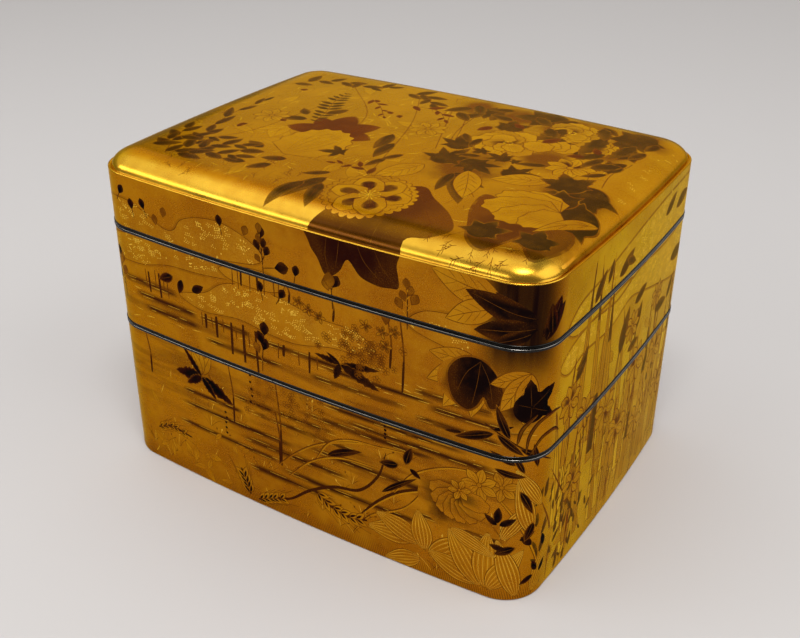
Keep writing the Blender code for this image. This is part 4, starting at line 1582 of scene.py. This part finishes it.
def ink_dark_reflection(s):
    """Painted dark reflection: brown shading with no edge, darkest at the top and fading downwards and to the
    sides.
    """
    u, v = s.map("motif")
    across = s.spread(s.off_middle(v), 0.2, 0.5, 1.0, 0.0)
    along = s.spread(u, 0.5, 1.0, 1.0, 0.0)
    grain = s.patches(260.0, 0.92, 1.0, 3.0, 0.35, 0.65, stretch=(1.0, 1.0, 0.06))
    return ink_over_gold(s, s.times(across, along, grain), DARK_REFLECTION_BROWN)


def ink_halo(ink, cover):
    """A look for brown shading that fades from its middle."""

    def look(s):
        u, v = s.map("motif")
        away = s.math("SQRT", s.math("ADD", s.times(u, u), s.times(v, v)))
        ragged = s.math("ADD", away, s.patches(90.0, -0.2, 0.1, 4.0, ceiling=0.7))
        return ink_over_gold(s, s.spread(ragged, 0.25, 0.95, cover, 0.0), ink)

    return look


def ink_field(s):
    """The paler gold of the right end, coming in past the corner."""
    u, v = s.map("motif")
    amount = s.times(s.spread(u, 0.0, 0.1), s.patches(40.0, 0.15, 0.65, 4.0, ceiling=0.7),
                     s.spread(u, 0.93, 1.0, 1.0, 0.0))
    return ink_over_gold(s, amount, GOLD_PALE)


def ink_bract(s):
    """Ribbed leaves: the ground gold, a little lighter to the tip."""
    u, v = s.map("motif")
    return ink_over_gold(s, s.spread(u, 0.1, 1.0, 0.0, 0.45), GOLD_LIGHT)


def ink_bright(s):
    """Reeds in pale gold, brighter on one side."""
    u, v = s.map("motif")
    light = s.times(s.spread(v, -0.4, 0.5, 0.45, 1.0), s.patches(90.0, 0.6, 1.0, ceiling=0.7))
    return ink_over_gold(s, light, REED_GOLD)


def ink_fleck(s):
    """Cut gold, some of it brighter."""
    colour = s.mix(s.tone(), GOLD_PALE, GOLD_BRIGHT)
    return s.mix(s.patches(500.0, 0.0, 0.4, 3.0, 0.4, 0.7), colour, GOLD_BRIGHT), 0.45


def ink_streak(s):
    """A soft dark line of water, broken along its length."""
    u, v = s.map("motif")
    across = s.spread(s.off_middle(v), 0.06, 0.5, 1.0, 0.0)
    ends = s.spread(s.off_middle(u, 0.5), 0.34, 0.5, 1.0, 0.0)
    broken = s.patches(60.0, 0.5, 0.95, stretch=(1.0, 1.0, 9.0))
    return ink_over_gold(s, s.times(across, ends, broken), LACQUER_BROWN)


def ink_hatch(s):
    """Fine upright hatching along the foot, fading upwards."""
    u, v = s.map("flat")
    slanted = s.math("ADD", u, s.times(v, 0.25))
    lines = s.math("SINE", s.times(slanted, 2 * math.pi / (HATCH_PITCH * MM)))
    fade = s.spread(v, 1 * MM, HATCH_TOP * MM, 1.0, 0.0)
    return ink_over_gold(s, s.times(s.spread(lines, -0.1, 0.9), fade, 0.85), LINE_BROWN)


INK_LOOKS = {
    "ground": ink_ground,
    "dark": ink_leaf(LACQUER_BLACK, LACQUER_BROWN, 0.25, DARK_EDGE),
    "umber": ink_leaf(UMBER_DEEP, UMBER_LIGHT, 0.6, UMBER_EDGE),
    "brown": ink_leaf(BROWN_DEEP, BROWN_LIGHT, 0.3, DARK_EDGE),
    # Russet leaves of the top get painted shade where they turn over the shoulder.
    "russet": ink_leaf(RUSSET_DEEP, RUSSET_LIGHT, 0.3, BROWN_EDGE, 0.75),
    "line": broken_ink(LINE_BROWN, 0.7, 1.0),
    "dark_line": broken_ink(LACQUER_BROWN, 0.8, 1.0),
    "vein": broken_ink(VEIN_BROWN, 0.8, 1.0),
    "faint": broken_ink(LINE_BROWN, 0.25, 0.5),
    "gold_line": broken_ink(LINE_GOLD, 0.4, 1.0),
    "pale": ink_pale,
    "petal": ink_petal,
    "heart": ink_heart,
    "mist": ink_mist,
    "soft": broken_ink(LINE_BROWN, 0.1, 0.4, 70.0, 0.35, 0.7),
    "smoke": ink_dark_reflection,
    "halo": ink_halo(HALO_BROWN, 0.95),
    "haze": ink_halo(HAZE_BROWN, 0.8),
    "burn": broken_ink(BURN_BROWN, 0.35, 0.75, 170.0),
    "bract": ink_bract,
    "bright": ink_bright,
    "field": ink_field,
    "fleck": ink_fleck,
    "streak": ink_streak,
    "core": broken_ink(CORE_BROWN, 0.5, 1.0, 80.0, 0.3, 0.5),
    "hatch": ink_hatch,
}


def ink_material(ink):
    """The material of an ink, made once."""
    name = "lacquer_" + ink
    if name in bpy.data.materials:
        return bpy.data.materials[name]
    shader = Shader(name)
    colour, roughness = INK_LOOKS[ink](shader)
    return shader.finish(colour, roughness, shader.noise(110.0), 0.04)


def plain_gold():
    """Gold lacquer of the plain edges."""
    shader = Shader("lacquer_edge")
    return shader.finish(*ink_ground(shader))


def inside_lacquer():
    """Amber lacquer with scattered gold flakes, as inside such boxes."""
    shader = Shader("lacquer_inside", metallic=0.35)
    cells = shader.node("ShaderNodeTexVoronoi")
    cells.inputs["Scale"].default_value = 1500.0
    shader.link(shader.place(), cells.inputs["Vector"])
    flakes = shader.math("LESS_THAN", cells.outputs["Distance"], 0.33)
    drift = shader.noise(40.0, 4.0)
    base = shader.mix(shader.spread(drift, 0.3, 0.7), INSIDE_DEEP, INSIDE_LIGHT)
    colour = shader.mix(shader.times(flakes, shader.spread(drift, 0.3, 0.6, 0.5, 0.9)), base, GOLD)
    return shader.finish(colour, shader.spread(drift, 0.3, 0.7, 0.25, 0.38))


def pewter(name, dark, light, worn):
    """Pewter strip, scratched along its length, with a painted highlight in patches where it faces up."""
    shader = Shader(name, coat=0.0)
    shader.surface.inputs["Specular Tint"].default_value = PEWTER_EDGE
    scratch = shader.noise(900.0, 3.0, (0.15, 0.15, 3.0))
    # Painted highlight: brighter where the strip faces up, in patches.
    highlit = shader.times(shader.spread(shader.normal_up(), 0.3, 0.75), shader.patches(70.0, 0.5, 1.0, 5.0))
    colour = shader.mix(highlit, dark, light)
    colour = shader.mix(shader.spread(scratch, 0.55, 0.8, 0.0, 0.3), colour, worn)
    return shader.finish(colour, shader.spread(scratch, 0.3, 0.7, 0.16, 0.3), scratch, 0.01)


# Plain parts of the pieces: edges, seats, lips and insides.

def inner_fillet(level, direction_up, steps=5):
    """Section points of the round between a wall's inside and a floor or roof."""
    turns = np.linspace(0, math.pi / 2, steps + 1)
    return [(WALL + INNER_FILLET * (1 - math.cos(t)), level - direction_up * INNER_FILLET * (1 - math.sin(t)))
            for t in turns]


def mouth_section(joint, floor_top):
    """Section of a tier's inside, from the rim's seat over the lip to the floor."""
    edge = joint - STACK_GAP / 2
    seat = edge - RIM_HEIGHT - SEAT_GAP
    profile = [(0.0, seat), (RIM_SEAT, seat), (RIM_SEAT, edge), (LIP_FACE, edge)]
    profile += [(LIP_FACE, joint + LIP_RISE), (WALL, joint + LIP_RISE)]
    return profile + inner_fillet(floor_top, -1)


def skirt_section(joint, roof):
    """Section of the lower edge of an upper piece, from its roof down to the rim's seat."""
    edge = joint + STACK_GAP / 2
    seat = edge + RIM_HEIGHT + SEAT_GAP
    skirt = LIP_FACE - LIP_CLEARANCE
    return [(skirt, roof), (skirt, edge), (RIM_SEAT, edge), (RIM_SEAT, seat), (0.0, seat)]


def rim(name, joint, side, material):
    """A half-round pewter strip above (side 1) or below (side -1) a joint."""
    near = STACK_GAP / 2
    profile = [(RIM_DEPTH, near)]
    for turn in np.linspace(0, math.pi, 9):
        inset = RIM_SINK - (RIM_PROUD + RIM_SINK) * math.sin(turn) ** 0.8
        profile.append((inset, near + RIM_HEIGHT / 2 * (1 - math.cos(turn))))
    profile.append((RIM_DEPTH, near + RIM_HEIGHT))
    section = [(inset, joint + side * height) for inset, height in profile]
    if side > 0:
        section = section[::-1]
    piece = lathe(name + "_strip", section[::-1], material, True)
    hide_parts(name)


def build_box():
    """Makes the pieces from the foot up, then the four strips."""
    wall_drawing = draw_wall()
    inside = inside_lacquer()
    edge = plain_gold()
    # The lower strips are a highlit copy of the pewter, and the upper strips a darker copy as painted shade.
    bright = pewter("pewter_highlit", *PEWTER_HIGHLIT)
    black = pewter("pewter_in_shade", *PEWTER_IN_SHADE)
    roof_low = FIRST_JOINT + LIP_RISE + LIP_CLEARANCE
    roof_high = SECOND_JOINT + LIP_RISE + LIP_CLEARANCE
    seat_low = STACK_GAP / 2 + RIM_HEIGHT + SEAT_GAP

    foot = [(FOOT_EDGE_RADIUS * (1 - math.sin(t)), FOOT_EDGE_RADIUS * (1 - math.cos(t)))
            for t in np.linspace(0, math.pi / 2, 6)]
    lathe("lower_tier_foot", foot, edge, fill=("first",))
    lower = lathe("lower_tier_tray", mouth_section(FIRST_JOINT, FLOOR), inside, fill=("last",))
    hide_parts("lower_tier")
    wall_skin("lower_tier_wall", wall_drawing, FOOT_EDGE_RADIUS, FIRST_JOINT - seat_low)

    upper = lathe("upper_tier_tray", mouth_section(SECOND_JOINT, roof_low + FLOOR), inside, fill=("last",))
    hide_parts("upper_tier")
    lathe("upper_tier_skirt", skirt_section(FIRST_JOINT, roof_low), inside, fill=("first",))
    wall_skin("upper_tier_wall", wall_drawing, FIRST_JOINT + seat_low, SECOND_JOINT - seat_low)

    bead_level = LEDGE_LEVEL - BEAD_RISE
    inner = inner_fillet(SHOULDER_TOP - LID_PLATE, 1)[::-1] + [(WALL, roof_high)]
    lid = lathe("lid_inside", inner + skirt_section(SECOND_JOINT, roof_high), inside, fill=("first",))
    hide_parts("lid")
    wall_skin("lid_wall", wall_drawing, SECOND_JOINT + seat_low, bead_level)
    bead = [(BEAD_WIDTH / 2 * (1 - math.cos(t)), bead_level + BEAD_RISE * math.sin(t) ** 0.8)
            for t in np.linspace(0, math.pi, 11)]
    lathe("lid_bead", bead + [(BEAD_WIDTH + GROOVE_WIDTH, bead_level)], edge)
    top_skin("lid_top", draw_top())

    # Highlit pewter below each joint, pewter in painted shade above it.
    rim("lower_tier_rim", FIRST_JOINT, -1, bright)
    rim("upper_tier_bottom_rim", FIRST_JOINT, 1, black)
    rim("upper_tier_top_rim", SECOND_JOINT, -1, bright)
    rim("lid_rim", SECOND_JOINT, 1, black)


# Stage, light and camera.

CAMERA_PLACE = (257.31, -412.57, 344.96)
CAMERA_YAW = -0.5591
CAMERA_PITCH = 0.5146
CAMERA_ROLL = 0.0061
FOCAL_PIXELS = 1093.5
IMAGE_WIDTH = 800
SENSOR_WIDTH = 36.0
NEAREST, FARTHEST = 0.01, 20.0
FLOOR_REACH = 2.6
FLOOR_COLOUR = (0.50, 0.49, 0.505, 1)
WORLD_COLOUR = (0.62, 0.60, 0.58, 1)
WORLD_STRENGTH = 0.4
WHITE, WARM, CREAM = (1.0, 0.99, 0.94), (1.0, 0.95, 0.88), (1.0, 0.98, 0.93)
MIDDLE = (0.0, 0.0, 0.1)
# Soft boxes: name, shape, place and aim in metres, size, power and colour.
LIGHTS = (
    ("key", "RECTANGLE", (-0.75, -1.0, 0.7), MIDDLE, (1.4, 0.36), 7.0, WHITE),
    ("left", "RECTANGLE", (-1.3, 0.0, 1.15), MIDDLE, (2.1, 1.2), 5.0, WARM),
    ("ceiling", "RECTANGLE", (-0.5, 0.0, 1.65), MIDDLE, (1.6, 1.5), 7.5, WHITE),
    ("back", "RECTANGLE", (-0.08, 1.7, 0.95), MIDDLE, (3.2, 1.4), 9.5, WARM),
    ("side", "RECTANGLE", (1.4, 0.3, 1.0), MIDDLE, (1.8, 1.6), 14.5, CREAM),
    ("spot", "ELLIPSE", (0.308, -0.441, 1.288), (0.104, -0.081, 0.16), (0.5, 0.36), 10.0, WHITE))


def add_camera():
    """The photo's view: its place in millimetres, with its yaw, pitch and roll in radians."""
    forward = Vector((math.sin(CAMERA_YAW) * math.cos(CAMERA_PITCH),
                      math.cos(CAMERA_YAW) * math.cos(CAMERA_PITCH), -math.sin(CAMERA_PITCH)))
    level = Vector((math.cos(CAMERA_YAW), -math.sin(CAMERA_YAW), 0.0))
    upright = level.cross(forward)
    right = level * math.cos(CAMERA_ROLL) + upright * math.sin(CAMERA_ROLL)
    up = upright * math.cos(CAMERA_ROLL) - level * math.sin(CAMERA_ROLL)
    data = bpy.data.cameras.new("camera")
    data.sensor_width = SENSOR_WIDTH
    data.lens = data.sensor_width * FOCAL_PIXELS / IMAGE_WIDTH
    data.clip_start = NEAREST
    data.clip_end = FARTHEST
    camera = bpy.data.objects.new("camera", data)
    turned = Matrix((right, up, -forward)).transposed().to_4x4()
    camera.matrix_world = Matrix.Translation(Vector(CAMERA_PLACE) * MM) @ turned
    bpy.context.scene.collection.objects.link(camera)
    bpy.context.scene.camera = camera


def add_floor():
    """The plain pale floor."""
    mesh = bpy.data.meshes.new("floor")
    corners = [(x * FLOOR_REACH, y * FLOOR_REACH, 0) for x, y in ((-1, -1), (1, -1), (1, 1), (-1, 1))]
    mesh.from_pydata(corners, [], [(0, 1, 2, 3)])
    material = bpy.data.materials.new("floor")
    material.use_nodes = True
    shader = material.node_tree.nodes["Principled BSDF"]
    shader.inputs["Base Color"].default_value = FLOOR_COLOUR
    shader.inputs["Roughness"].default_value = 0.85
    mesh.materials.append(material)
    floor = bpy.data.objects.new("floor", mesh)
    bpy.context.scene.collection.objects.link(floor)


def add_lights():
    """The soft boxes, each turned towards its aim, and the grey of the room."""
    world = bpy.data.worlds.new("world")
    world.use_nodes = True
    background = world.node_tree.nodes["Background"]
    background.inputs["Color"].default_value = WORLD_COLOUR
    background.inputs["Strength"].default_value = WORLD_STRENGTH
    bpy.context.scene.world = world
    for name, shape, place, aim, size, power, colour in LIGHTS:
        data = bpy.data.lights.new(name, "AREA")
        data.shape = shape
        data.size, data.size_y = size
        data.energy = power
        data.color = colour
        light = bpy.data.objects.new(name, data)
        light.location = place
        light.rotation_mode = "QUATERNION"
        light.rotation_quaternion = (Vector(aim) - Vector(place)).to_track_quat("-Z", "Y")
        bpy.context.scene.collection.objects.link(light)


def set_view():
    """Plain colour handling, so that the deep gold keeps its strength."""
    bpy.context.scene.view_settings.view_transform = "Standard"


build_box()
add_floor()
add_lights()
add_camera()
set_view()
